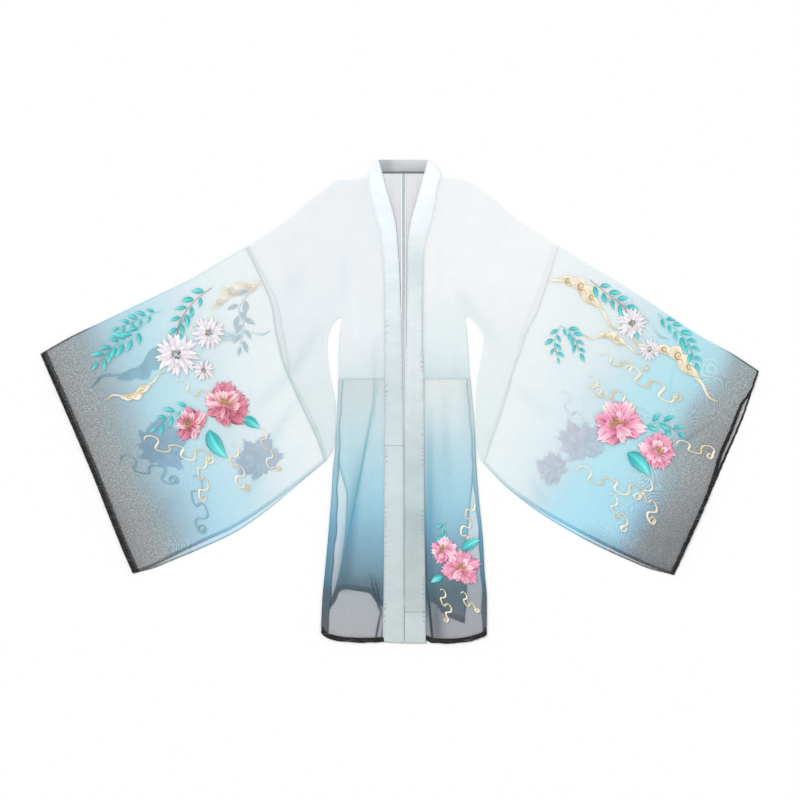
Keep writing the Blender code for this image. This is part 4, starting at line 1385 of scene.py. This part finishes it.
for side, out in OUT.items():
    line = seams[side]
    square = square_to(line) * out
    share = run_of(line) / run_of(line)[-1]
    width = eased(*zip(*ALLOWANCE[side]), share) + 0.0005 * np.sin(share * 60)[:, None]
    first, last = line[:, :2] - square * 0.0008, line[:, :2] + square * width
    grid = strip_between(first, last, 6)
    points = np.dstack((grid, np.full(grid.shape[:2], EDGES_LEVEL)))
    down = run_of(grid)
    marks = {"seam": np.minimum(down, down[-1:] - down)}
    piece = sheet_piece(f"seam_edges_sleeve_{side}", points, seam_edges, marks)
    carry(f"front_bodice_cloth_{side}", piece, "bodice_organza")

# The tape on the centre back seam: a grey-green fold with a pale painted highlight along each side.
TAPE_ENDS = (-0.511, NECK_SEAM - 0.001)
TAPE_HALF = 0.0058
TAPE_LEVEL = 0.0013
TAPE = dict(Roughness=0.6, Sheen_Weight=0.1, Alpha=0.95)

tape_finish, surface, place = new_finish("centre seam tape", **TAPE)
dark = place.fibres(900.0, 90.0, 2.0).ramp([(0.2, tone(152, 162, 163)), (0.8, tone(194, 204, 206))])
middle = place.along("Y").within(-0.12, -0.04) * place.along("Y").until(0.10, 0.30)
dark = dark.mixed(tone(214, 212, 216), middle * 0.6)
# The pale sides of the tape are painted highlights.
feed(surface, Base_Color=dark.mixed(tone(244, 245, 247), place.mark("aside").within(0.58, 0.72)))

y, over = np.meshgrid(np.linspace(*TAPE_ENDS, 240), np.linspace(-1, 1, 9), indexing="ij")
x = CENTRE_SEAM + 0.0014 + 0.0005 * np.sin(y * 23) + over * TAPE_HALF
z = TAPE_LEVEL + 0.0006 * (1 - over**2) + 0.0009 * softly((-0.486 - y) / 0.008)
piece = sheet_piece("centre_back_tape", np.dstack((x, y, z)), tape_finish, {"aside": np.abs(over)})
carry("back_bodice_cloth_left", piece, "bodice_organza")

# The stitches: how long each is, how far apart, how wide, and how far from its seam.
STITCH = 0.0021
STITCH_PITCH = 0.0034
STITCH_WIDTH = 0.0006
STITCH_INSET = 0.0022

stitch_thread, surface, place = new_finish("sewing thread", Roughness=0.5, Sheen_Weight=0.2)
twist = place.cloudy(1500.0).grey(0.7, 1.2, 0.3, 0.7)
feed(surface, Base_Color=place.mark("tint", 0).deepened(twist, 0.5))


def blended(low, high, share):
    """Colours between two, by a grid of shares."""
    low, high = np.array(tone(*low)), np.array(tone(*high))
    share = np.asarray(share)[..., None]
    return low * (1 - share) + high * share


def stitched_line(line, step=STITCH_PITCH):
    """The middle and the heading of each stitch along a line of (x, y) points."""
    run = run_of(line)
    at = np.arange(step, run[-1] - step / 2, step)
    middle, ahead = (
        np.stack([np.interp(place, run, line[:, k]) for k in (0, 1)], 1)
        for place in (at, at + step / 4)
    )
    heading = ahead - middle
    return middle, heading / np.hypot(*heading.T)[:, None]


def top_of(sheet):
    """A function that gives the height of a sheet's top at x, y, or None beside the sheet."""
    cloth = BVHTree.FromObject(bpy.data.objects[sheet], bpy.context.evaluated_depsgraph_get())

    def height(x, y):
        hit = cloth.ray_cast((x, y, 0.1), (0.0, 0.0, -1.0))[0]
        return None if hit is None else hit.z

    return height


def sew(name, lines, sheet, slot, colour, dark):
    """Sews lines of stitches on a sheet, each stitch a small raised bar, as one piece."""
    height = top_of(sheet)
    points, faces, tints = [], [], []
    random = np.random.default_rng(len(name))
    stitches = [stitch for line in lines for stitch in zip(*stitched_line(line))]
    for (x, y), (run_x, run_y) in stitches:
        level = height(x, y)
        if level is None:
            continue
        first = len(points)
        for along, half, rise in ((-0.5, 0.55, -0.0001), (0.0, 1.0, 0.00035), (0.5, 0.55, -0.0001)):
            for across in (-1, 0, 1):
                off, here = across * STITCH_WIDTH / 2 * half, along * STITCH
                top = level + 0.0002 + rise * (1 - 0.6 * abs(across))
                points.append((x + run_x * here - run_y * off, y + run_y * here + run_x * off, top))
        for corner in (first, first + 1, first + 3, first + 4):
            faces.append((corner, corner + 3, corner + 4, corner + 1))
        tints += [blended(dark, colour, random.uniform(0, 1))] * 9
    mesh = bpy.data.meshes.new(name)
    mesh.from_pydata(points, [], faces)
    carry(sheet, shown(mesh, stitch_thread, {}, tints), slot)


for side, out in OUT.items():
    for name, grid in band_parts(side):
        lines = [grid[3:-1, 1], grid[3:-1, BAND_ACROSS - 1]]
        if name == "band_lower":
            lines += [grid[1, 1:-1], grid[2, 1:-1]]
        colours = (214, 222, 226), (150, 160, 165)
        sew(f"stitches_{name}_{side}", lines, f"{name}_cloth_{side}", "collar_satin", *colours)
    beside = seams[side][:, :2] + square_to(seams[side]) * out * STITCH_INSET
    ends = BAND[side][8][0], SIDE_SEAM[side][0][0]
    waist = np.linspace(*((x, WAIST + STITCH_INSET) for x in ends), 61)
    colours = ((176, 188, 186), (120, 134, 132)) if out < 0 else ((216, 228, 224), (170, 186, 181))
    sheet = f"front_bodice_cloth_{side}"
    sew(f"stitches_bodice_{side}", [beside[4:-4], waist], sheet, "bodice_organza", *colours)
    rows = np.array(FRONT_SKIRT[side])
    y = np.linspace(WAIST - 0.004, -0.555, 200)
    fold_x, turn = eased(-rows[:, 2], rows[:, (1, 3)], -y).T
    hem_line = np.stack((fold_x - (turn - STITCH_INSET) * out, y), 1)
    colours = (120, 158, 170), (70, 104, 116)
    sheet = f"front_skirt_cloth_{side}"
    sew(f"stitches_skirt_{side}", [hem_line], sheet, "skirt_organza", *colours)

# ---------------------------------------------------------------------------------------
# The embroidery: garden flowers, leaf sprays, scrolled clouds and curling ribbons in satin
# stitch, on the outer sleeves and the right skirt. Some lie on the back panels instead, in
# fewer colours, and show through the front. Rayon thread, stitched close over the organza.

THREAD_RISE = 0.0004
ROSE = ((150, 48, 78), (200, 90, 118), (232, 146, 166), (254, 214, 222))
BLUSH = ((190, 74, 112), (226, 126, 160), (246, 176, 202), (255, 224, 236))
IVORY = ((196, 186, 200), (222, 218, 228), (246, 242, 246), (255, 252, 250))
SLATE = ((72, 98, 142), (92, 120, 164), (108, 136, 176), (128, 156, 192))
DEEP = ((60, 118, 138), (96, 160, 180))
DUSK = ((158, 146, 168), (172, 162, 184), (186, 178, 198), (200, 194, 210))
GOLD = ((150, 112, 62), (214, 182, 118))
TEAL = ((38, 168, 174), (120, 228, 222))
CREAM = ((214, 196, 160), (248, 240, 218))
MIST = ((150, 178, 192), (214, 230, 236))
TAN = ((142, 118, 90), (190, 168, 132))


def smooth_line(points, count):
    """A smooth curve through the points."""
    points = np.asarray(points, float)
    ends = np.vstack((2 * points[0] - points[1], points, 2 * points[-1] - points[-2]))
    place = np.linspace(0, len(points) - 1 - 1e-9, count)
    at = place.astype(int)
    t = (place - at)[:, None]
    a, b, c, d = (ends[at + k] for k in range(4))
    square, cube = 2 * a - 5 * b + 4 * c - d, 3 * b - a - 3 * c + d
    return 0.5 * (2 * b + (c - a) * t + square * t**2 + cube * t**3)


def towards(angle):
    return np.array((cos(angle), sin(angle)))


class Needlework:
    """Satin stitch on one sheet: small grids of thread, with a colour at each point."""

    def __init__(self, seed, relief=1.0):
        self.random, self.relief = np.random.default_rng(seed), relief
        self.points, self.faces, self.tints, self.threads = [], [], [], []

    def patch(self, x, y, rise, tints, thread):
        """One grid of thread, at a rise from the cloth, with its place across the thread."""
        index = np.arange(x.size).reshape(x.shape) + sum(map(len, self.points))
        faces = quads(index)
        row, place = x.shape[0] // 2, x.shape[1] // 2
        down = x[row, place] - x[row - 1, place], y[row, place] - y[row - 1, place]
        over = x[row, place] - x[row, place - 1], y[row, place] - y[row, place - 1]
        if over[0] * down[1] - over[1] * down[0] < 0:
            faces = faces[:, ::-1]
        self.points.append(np.dstack((x, y, rise)).reshape(-1, 3))
        self.faces.append(faces)
        self.tints.append(np.broadcast_to(tints, (*x.shape, 3)).reshape(-1, 3))
        self.threads.append(np.broadcast_to(thread, x.shape).ravel())

    def petal(
        self,
        x,
        y,
        angle,
        length,
        width,
        base,
        tip,
        level,
        bend=0.0,
        pointed=0.0,
        rib=0.0,
        dome=0.0009,
        ragged=0.16,
    ):
        """One petal or leaf from its base at x, y. It is ruffled at its end, or pointed."""
        rows, across = (9, 9) if pointed else (11, 15)
        u, v = np.linspace(0, 1, rows)[:, None], np.linspace(-1, 1, across)[None]
        heading = angle + bend * (u - 0.5)
        line_x = x + np.cumsum(np.cos(heading), 0) * length / rows
        line_y = y + np.cumsum(np.sin(heading), 0) * length / rows
        phase = self.random.uniform(0, tau)
        if pointed:
            half = width / 2 * np.sin(pi * u**0.8) ** (0.6 + 0.5 * pointed)
            ahead = np.zeros(v.shape) + 0 * u
        else:
            half = width / 2 * np.sin(pi * (0.05 + 0.80 * u**0.85)) ** 0.75
            teeth = 0.085 * np.cos(6.5 * v + phase) + 0.055 * np.cos(16 * v + 2.3 * phase)
            ahead = (teeth * u**3 - ragged * np.abs(v) ** 1.5 * u**2) * length
        out_x = line_x - np.sin(heading) * half * v + np.cos(heading) * ahead
        out_y = line_y + np.cos(heading) * half * v + np.sin(heading) * ahead
        arch = (1 - v**4) * np.sin(pi * (0.08 + 0.84 * u)) ** 0.5
        streaks = self.random.normal(0.0, 0.20 if pointed else 0.30, v.shape)
        streaks = streaks * np.sin(pi * np.clip(u + 0.1, 0, 1)) ** 0.5
        share = 0.05 + 0.95 * u**1.2 + 0.16 * np.cos(9 * v + phase) * u - 0.45 * v**4 + streaks
        tints = blended(base, tip, np.clip(share, 0, 1))
        tints = tints * (1 - (0.20 if pointed else 0.42) * v[..., None] ** 6)
        if rib:
            tints = tints * (1 + rib * np.exp(-((v / 0.22) ** 2)))[..., None]
        self.patch(out_x, out_y, level + dome * arch, np.clip(tints, 0, 1), half * v + 0 * u)

    def ribbon(self, line, width, base, tip, level, ends, twist=0.0):
        """A line of stitches along a curve, which tapers at its ends."""
        along = np.linspace(0, 1, len(line))
        run = np.gradient(line, axis=0)
        square = np.stack((-run[:, 1], run[:, 0]), 1) / np.maximum(np.hypot(*run.T), 1e-9)[:, None]
        half = width / 2 * np.clip(np.sin(pi * along), 0, 1) ** ends
        half = half * (1 - twist * (0.5 + 0.5 * np.cos(2 * np.arctan2(run[:, 1], run[:, 0]) + 1.2)))
        v = np.linspace(-1, 1, 4)[None]
        x = line[:, :1] + square[:, :1] * half[:, None] * v
        y = line[:, 1:] + square[:, 1:] * half[:, None] * v
        share = 0.5 + 0.5 * np.sin(along * len(line) * 0.16)[:, None] * (1 - 0.3 * v**2)
        rise = level + 0.0005 * (1 - v**2) + 0 * x
        self.patch(x, y, rise, blended(base, tip, np.clip(share, 0, 1)), half[:, None] * v)

    def leaf(self, x, y, angle, length, width, level, bend):
        """One large leaf with a pale rib."""
        self.petal(x, y, angle, length, width, *TEAL, level, bend, pointed=0.6, rib=0.4)

    def peony(self, x, y, size, up, colours, stamens=True, ragged=(0.04, 0.24), full=1.0):
        """A flower from the side: back petals fan up, side ones spread, front ones curl over."""
        dark, mid, light, pale = colours
        rows = (
            ((-1.30, 0.92), (1.25, 0.96), (-0.80, 1.06), (0.72, 1.00), (-0.30, 0.98), (0.22, 1.12)),
            ((-2.40, 0.74), (2.35, 0.78), (-1.80, 0.98), (1.75, 0.92), (3.10, 0.60)),
            ((-0.95, 0.70), (0.85, 0.66), (-0.35, 0.74), (0.30, 0.70), (-1.70, 0.60), (1.60, 0.58)),
            ((2.70, 0.52), (-2.60, 0.50), (-3.10, 0.40)),
        )
        for row, petals in enumerate(rows):
            for lean, reach in petals:
                angle = up + lean + self.random.uniform(-0.14, 0.14)
                reach = reach * size * self.random.uniform(0.90, 1.10)
                foot = size * (0.14, 0.12, 0.10, -0.10)[row]
                shaded = self.random.random() < (0.75, 0.65, 0.50, 0.35)[row]
                width = reach * self.random.uniform(0.62, 0.86) * full
                tints = (dark, light) if shaded else (mid, pale)
                level = row * 0.0004 + self.random.uniform(0, 0.0003)
                bend, teeth = self.random.uniform(-0.6, 0.6), self.random.uniform(*ragged)
                spot = (x, y) + towards(angle) * foot
                self.petal(*spot, angle, reach - foot, width, *tints, level, bend, ragged=teeth)
        heart = (x, y) - towards(up) * size * 0.26
        self.petal(*heart, up, size * 0.5, size * 0.6, mid, light, 0.0006)
        if not stamens:
            return
        hub = (x, y) + towards(up) * size * 0.16
        for _ in range(16):
            angle = up + self.random.uniform(-1.7, 1.7)
            reach = size * self.random.uniform(0.10, 0.30)
            end = hub + towards(angle) * reach - 0.02 * size
            self.petal(*hub, angle, reach, size * 0.05, *GOLD, 0.0022, pointed=1.0, dome=0.0004)
            self.petal(*end, angle, size * 0.10, size * 0.08, *GOLD, 0.0025, dome=0.0005)

    def shadow(self, x, y, size, up, colours, full):
        """A peony's dusky shape, for the back panels."""
        self.peony(x, y, size, up, colours, False, (0.1, 0.4), full)

    def daisy(self, x, y, size, petals=20, colours=IVORY):
        """A many-petalled flower with narrow petals and a speckled heart."""
        dark, mid, light, pale = colours
        rings = (petals, 1.0), (petals - 5, 0.72), (petals - 9, 0.46)
        for ring, (count, reach) in enumerate(rings):
            start = self.random.uniform(0, tau)
            for k in range(count):
                angle = start + k * tau / count + self.random.uniform(-0.07, 0.07)
                length = size * reach * self.random.uniform(0.84, 1.06)
                foot = 0.10 * size
                width = size * 0.27 * (0.6 + 0.4 * reach)
                tints = dark if k % 3 else mid, pale if k % 2 else light
                level = ring * 0.0004 + self.random.uniform(0, 0.0002)
                bend = self.random.uniform(-0.7, 0.7)
                spot = (x, y) + towards(angle) * foot
                self.petal(*spot, angle, length - foot, width, *tints, level, bend, pointed=0.5)
        for k in range(14):
            angle = self.random.uniform(0, tau)
            reach = size * 0.16 * self.random.uniform(0, 1) ** 0.5
            shade = GOLD if k % 3 else ((44, 42, 48), (88, 84, 90))
            spot = (x, y) + towards(angle) * reach
            self.petal(*spot, angle, size * 0.09, size * 0.07, *shade, 0.0016, dome=0.0005)

    def spray(self, line, leaf, pairs, colours=TEAL, stem=None):
        """A stem with leaves on both sides and one at its end."""
        curve = smooth_line(line, 34)
        self.ribbon(curve, 0.0022, *(stem or colours), level=0.0, ends=0.15)
        for k in range(pairs * 2 + 1):
            part = 0.14 + 0.86 * k / (pairs * 2)
            at = min(int(part * 33), 33)
            run = curve[min(at + 1, 33)] - curve[max(at - 1, 0)]
            angle = np.arctan2(run[1], run[0])
            side = (1 if k % 2 else -1) if k < pairs * 2 else 0
            length = leaf * (1.05 - 0.40 * abs(part - 0.45)) * self.random.uniform(0.85, 1.15)
            angle += side * 0.7 * self.random.uniform(0.8, 1.15)
            width = length * self.random.uniform(0.28, 0.38)
            shape = dict(bend=-side * 0.5, pointed=0.8, rib=0.25, dome=0.0006)
            self.petal(*curve[at], angle, length, width, *colours, 0.0003, **shape)

    def scroll(self, x, y, size, angle, turns, way, width, colours, level, tail):
        """A spiral line that opens into a long tail."""
        t = np.linspace(0, 1, int(26 * turns) + 8)
        around = angle + pi + way * (1 - t) * turns * tau
        reach = size * (0.16 + 0.84 * t)
        spiral = np.stack((x + np.cos(around) * reach, y + np.sin(around) * reach), 1)
        run = spiral[-1] - spiral[-2]
        run /= hypot(*run)
        side = np.array((-run[1], run[0]))
        s = np.linspace(0, 1, 20)[1:, None]
        ease = size * tail * 2.2
        tail_line = spiral[-1] + run * s * ease + side * np.sin(s * pi * 1.5) * -way * size * 0.38
        self.ribbon(np.vstack((spiral, tail_line)), width, *colours, level=level, ends=0.3)

    def cloud(self, x, y, size, angle, lobes, way=1, colours=CREAM, rims=GOLD):
        """A drawn-out cloud: a tapering body with a lobed back, spirals on it, and long tails."""
        ahead = towards(angle)
        up = np.array((-ahead[1], ahead[0])) * way
        u, v = np.linspace(0, 1, 44)[:, None], np.linspace(0, 1, 8)[None]
        swell = np.sin(pi * u**0.8) ** 1.3
        back = swell * (0.70 + 0.30 * np.abs(np.sin(u * lobes * pi + 0.3))) * size
        floor = -0.22 * size * np.sin(pi * u) ** 2 * np.cos(u * 9)
        along = (u - 0.5) * size * 3.6 + 0.10 * size * np.sin(v * 3)
        across = floor + (back - floor) * v + 0.35 * size * (u - 0.5) ** 2
        body_x = x + ahead[0] * along + up[0] * across
        body_y = y + ahead[1] * along + up[1] * across
        grain = self.random.normal(0.0, 0.16, (44, 8))
        share = np.clip(0.15 + 0.85 * v + 0.25 * np.sin(u * 23 + v * 5) + grain, 0, 1)
        arch = np.sin(pi * np.clip(v, 0.03, 0.97)) ** 0.5 * swell**0.5
        self.patch(body_x, body_y, 0.0006 * arch, blended(*colours, share), v * size + 0 * u)
        for k in range(lobes - 1):
            part = (k + 0.75) / lobes
            high = size * sin(pi * part**0.8) ** 1.3
            heart = np.array((x, y)) + ahead * (part - 0.5) * size * 3.6 + up * high * 0.52
            coil = high * 0.27, angle + way * 2.0, 1.1, -way, size * 0.055
            self.scroll(*heart, *coil, rims, 0.0009, 0.8)
        for k in (0, 1):
            s = np.linspace(0, 1, 34)[:, None]
            start = np.array((x, y)) + ahead * size * (1.2, -1.2)[k] - up * size * 0.08
            line = start + ahead * s * size * (2.1, -1.9)[k]
            line = line + up * size * (np.sin(s * 6.5 + k) * 0.16 - 0.30 * s)
            self.ribbon(line, size * 0.16, *colours, level=0.0003, ends=0.5)

    def tendril(self, x, y, angle, length, swing, waves, width, curl=1, colours=CREAM):
        """A ribbon that winds to and fro, ever wider, and curls up at its end."""
        s = np.linspace(0, 1, int(30 * waves))
        ahead = towards(angle)
        side = np.array((-ahead[1], ahead[0]))
        across = np.sin(s * waves * tau) * (0.55 + 0.45 * np.sin(s * 5 + 1) ** 2) * swing
        back = -np.sin(s * waves * 2 * tau) * swing * 0.46
        line = np.array((x, y)) + ahead * (s * length + back)[:, None] + side * across[:, None]
        run = line[-1] - line[-2]
        heading = np.arctan2(run[1], run[0])
        t = np.linspace(0, 1, 22)[1:, None]
        size = swing * 0.55
        around = heading - curl * pi / 2 + curl * t * 1.35 * tau
        hub = line[-1] + towards(heading + curl * pi / 2) * size
        reach = size * (1 - 0.72 * t)
        coil = hub + np.hstack((np.cos(around), np.sin(around))) * reach
        self.ribbon(np.vstack((line, coil)), width, *colours, level=0.0003, ends=0.25, twist=0.62)

    def stitched(self, name, sheet, slot):
        """Lays the work on its sheet as one piece."""
        height = top_of(sheet)
        points, faces = np.vstack(self.points), np.vstack(self.faces)
        levels = [height(x, y) for x, y, _ in points.tolist()]
        on_cloth = np.array([level is not None for level in levels])
        raised = (THREAD_RISE + points[:, 2]) * self.relief
        points[:, 2] = raised + [level or 0.0 for level in levels]
        faces = faces[on_cloth[faces].all(axis=1)]
        kept, faces = np.unique(faces, return_inverse=True)
        mesh = bpy.data.meshes.new(name)
        mesh.from_pydata(points[kept].tolist(), [], faces.reshape(-1, 4).tolist())
        marks = {"thread": np.concatenate(self.threads)[kept]}
        carry(sheet, shown(mesh, satin_stitch, marks, np.vstack(self.tints)[kept]), slot)


RAYON = dict(Roughness=0.42, Sheen_Weight=0.25, Sheen_Roughness=0.3, Specular_IOR_Level=0.45)
satin_stitch, surface, place = new_finish("satin stitch", **RAYON)
thread = place.mark("thread")
lengthways = {"noise_dimensions": "1D"}
strands, bundles = (
    thread.node("ShaderNodeTexNoise", lengthways, {"W": at, "Scale": scale, "Detail": 1.0})
    for at, scale in ((thread, 1700.0), (thread + 3.0, 420.0))
)
tint = place.mark("tint", 0).deepened(strands.grey(0.62, 1.35, 0.2, 0.8), 0.45)
feed(surface, Base_Color=tint.deepened(bundles.grey(0.55, 1.3, 0.25, 0.75), 0.40))
raise_threads(surface, place, 0.6, 0.0004, strands)

# The left sleeve's front.
work = Needlework(101)
work.spray([(-0.470, 0.286), (-0.516, 0.250), (-0.548, 0.206), (-0.560, 0.160)], 0.036, 5, stem=TAN)
work.spray([(-0.640, 0.196), (-0.672, 0.160), (-0.716, 0.138), (-0.752, 0.100)], 0.038, 6)
work.spray([(-0.600, 0.226), (-0.650, 0.206), (-0.700, 0.186)], 0.030, 4)
work.cloud(-0.660, 0.030, 0.026, 0.42, 3, -1)
work.daisy(-0.560, 0.118, 0.060)
work.daisy(-0.478, 0.172, 0.044, 17)
work.daisy(-0.492, 0.078, 0.030, 14)
work.spray([(-0.520, -0.012), (-0.566, -0.030), (-0.606, -0.062)], 0.034, 3)
work.peony(-0.520, -0.060, 0.044, 2.5, ROSE)
work.peony(-0.440, -0.016, 0.060, 1.2, ROSE)
work.leaf(-0.480, -0.060, -1.05, 0.095, 0.038, 0.0004, 0.7)
work.leaf(-0.404, -0.040, -0.50, 0.060, 0.026, 0.0002, -0.6)
work.tendril(-0.640, -0.100, -0.25, 0.170, 0.018, 2.6, 0.0067)
work.tendril(-0.425, -0.112, -1.25, 0.110, 0.016, 2.1, 0.0061, -1)
work.tendril(-0.500, -0.138, -1.50, 0.100, 0.015, 1.8, 0.0059)
work.tendril(-0.350, -0.070, -1.25, 0.110, 0.012, 2.2, 0.0046)
work.tendril(-0.560, 0.046, -0.45, 0.110, 0.014, 1.8, 0.0051, -1)
work.stitched("embroidery_sleeve_front_left", "sleeve_front_cloth_left", "sleeve_organza")

# The left sleeve's back, seen through the front.
work = Needlework(102, 0.3)
work.shadow(-0.352, -0.150, 0.062, 2.0, SLATE, 0.74)
work.shadow(-0.600, -0.120, 0.070, 1.1, SLATE, 0.74)
work.cloud(-0.400, 0.262, 0.046, 0.50, 4, colours=TAN[1:] + CREAM[1:])
work.cloud(-0.640, 0.110, 0.050, 0.60, 4, -1, colours=DEEP, rims=DEEP)
work.cloud(-0.440, 0.150, 0.036, 0.35, 3, colours=DEEP[1:] + MIST[1:], rims=DEEP)
work.spray([(-0.352, 0.300), (-0.402, 0.236), (-0.392, 0.190), (-0.400, 0.140)], 0.040, 5, DEEP)
work.tendril(-0.700, -0.150, -0.30, 0.150, 0.020, 2.0, 0.0076, colours=DEEP)
work.tendril(-0.520, -0.190, -1.35, 0.140, 0.020, 2.0, 0.0070, colours=DEEP)
work.stitched("embroidery_sleeve_back_left", "sleeve_back_cloth_left", "sleeve_organza")

# The right sleeve's front.
work = Needlework(103)
work.spray([(0.640, 0.222), (0.676, 0.190), (0.716, 0.150), (0.736, 0.100)], 0.034, 6)
work.spray([(0.470, 0.306), (0.516, 0.270), (0.562, 0.232), (0.584, 0.180)], 0.036, 6, stem=TAN)
work.spray([(0.400, 0.190), (0.430, 0.166), (0.448, 0.124)], 0.030, 4)
work.spray([(0.400, 0.190), (0.384, 0.150), (0.392, 0.112)], 0.026, 3)
work.cloud(0.448, 0.266, 0.040, -0.62, 4)
work.cloud(0.690, 0.092, 0.042, -0.62, 4)
work.cloud(0.530, 0.150, 0.024, -0.30, 3)
work.daisy(0.578, 0.196, 0.040)
work.daisy(0.622, 0.130, 0.030, 15)
work.tendril(0.560, 0.076, -0.50, 0.140, 0.020, 2.0, 0.0077, -1)
work.tendril(0.500, 0.112, -0.35, 0.120, 0.013, 2.2, 0.0056)
work.tendril(0.470, 0.030, -0.25, 0.110, 0.015, 1.8, 0.0056, -1)
work.tendril(0.470, 0.060, -1.00, 0.110, 0.014, 2.0, 0.0059)
work.spray([(0.600, -0.060), (0.650, -0.052), (0.690, -0.076)], 0.036, 3)
work.peony(0.636, -0.130, 0.048, 0.7, BLUSH)
work.peony(0.548, -0.066, 0.062, 1.9, BLUSH)
work.leaf(0.556, -0.124, -0.75, 0.092, 0.038, 0.0004, -0.6)
work.tendril(0.440, -0.176, -0.32, 0.180, 0.018, 2.6, 0.0067, -1)
work.tendril(0.610, -0.196, -1.35, 0.110, 0.016, 2.0, 0.0061)
work.tendril(0.520, -0.235, -1.10, 0.090, 0.015, 1.6, 0.0059)
work.tendril(0.690, -0.110, -0.20, 0.100, 0.015, 1.6, 0.0061, -1)
work.stitched("embroidery_sleeve_front_right", "sleeve_front_cloth_right", "sleeve_organza")

# The right sleeve's back.
work = Needlework(104, 0.3)
work.shadow(0.452, -0.110, 0.062, 1.7, DUSK, 0.70)
work.shadow(0.385, -0.172, 0.044, 2.5, DUSK, 0.70)
work.cloud(0.560, 0.226, 0.040, -0.45, 3, colours=DEEP[1:] + MIST[1:], rims=DEEP)
work.tendril(0.520, 0.020, -0.60, 0.150, 0.018, 2.0, 0.0060, colours=MIST)
work.tendril(0.400, 0.020, -1.00, 0.120, 0.016, 2.0, 0.0050, colours=MIST)
work.stitched("embroidery_sleeve_back_right", "sleeve_back_cloth_right", "sleeve_organza")

# The right skirt.
work = Needlework(105)
work.spray([(0.112, -0.300), (0.104, -0.330), (0.112, -0.356)], 0.024, 2)
work.peony(0.112, -0.374, 0.036, 2.3, BLUSH)
work.peony(0.150, -0.424, 0.047, 1.3, BLUSH)
work.leaf(0.150, -0.376, 0.55, 0.058, 0.026, 0.0004, -0.6)
work.leaf(0.110, -0.436, 3.60, 0.038, 0.018, 0.0004, 0.5)
work.tendril(0.176, -0.250, -1.75, 0.095, 0.012, 2.2, 0.0056)
work.tendril(0.098, -0.472, -1.20, 0.070, 0.011, 1.8, 0.0056, -1)
work.tendril(0.150, -0.480, -0.90, 0.050, 0.010, 1.4, 0.0056)
work.stitched("embroidery_skirt_right", "front_skirt_cloth_right", "skirt_organza")

# ---------------------------------------------------------------------------------------
# The cut of each sheet: its flat size, how it is held and what it lies on. What is sewn to
# it goes with it: its seam edges, tape, stitches and embroidery.

for name, cut in cuts.items():
    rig.sheet(bpy.data.objects[name], with_pieces=carried.get(name, []), **cut)

# ---------------------------------------------------------------------------------------
# The floor, the light and the camera: a plain pale floor, soft light from above with a
# little more from one side, and a camera that looks straight down on the robe.

FLOOR_LEVEL = -0.0002
FRAME_CENTRE = (-0.00125, 0.00375)
FRAME_WIDTH = 2.0
CAMERA_HEIGHT = 5.0

floor_finish, surface, place = new_finish("pale floor", Roughness=0.9, Specular_IOR_Level=0.1)
surface.inputs["Base Color"].default_value = (0.88, 0.88, 0.88, 1.0)
mesh = bpy.data.meshes.new("floor")
corners = [(x, y, FLOOR_LEVEL) for x, y in ((-6, -6), (6, -6), (6, 6), (-6, 6))]
mesh.from_pydata(corners, [], [(0, 1, 2, 3)])
mesh.materials.append(floor_finish)
floor = bpy.data.objects.new("floor", mesh)
bpy.context.scene.collection.objects.link(floor)
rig.stage(floor)

world = bpy.data.worlds.new("soft light")
bpy.context.scene.world = world
world.use_nodes = True
world.node_tree.nodes["Background"].inputs["Color"].default_value = (1.0, 1.0, 1.0, 1.0)
world.node_tree.nodes["Background"].inputs["Strength"].default_value = 0.80

key = bpy.data.lights.new("key", "SUN")
key.energy = 1.40
key.angle = radians(40)
key_light = bpy.data.objects.new("key", key)
key_light.rotation_euler = (radians(-28), radians(-32), 0.0)
bpy.context.scene.collection.objects.link(key_light)

lens = bpy.data.cameras.new("camera")
lens.sensor_width = 36.0
lens.lens = 36.0 * CAMERA_HEIGHT / FRAME_WIDTH
lens.clip_end = 60.0
camera = bpy.data.objects.new("camera", lens)
camera.location = (*FRAME_CENTRE, CAMERA_HEIGHT)
bpy.context.scene.collection.objects.link(camera)
bpy.context.scene.camera = camera
bpy.context.scene.view_settings.view_transform = "Standard"

with open("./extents.json", "w") as sizes:
    json.dump({"cad": [list(corner) for corner in cad_box], "visual": [list(corner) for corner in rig.bounds()]}, sizes)
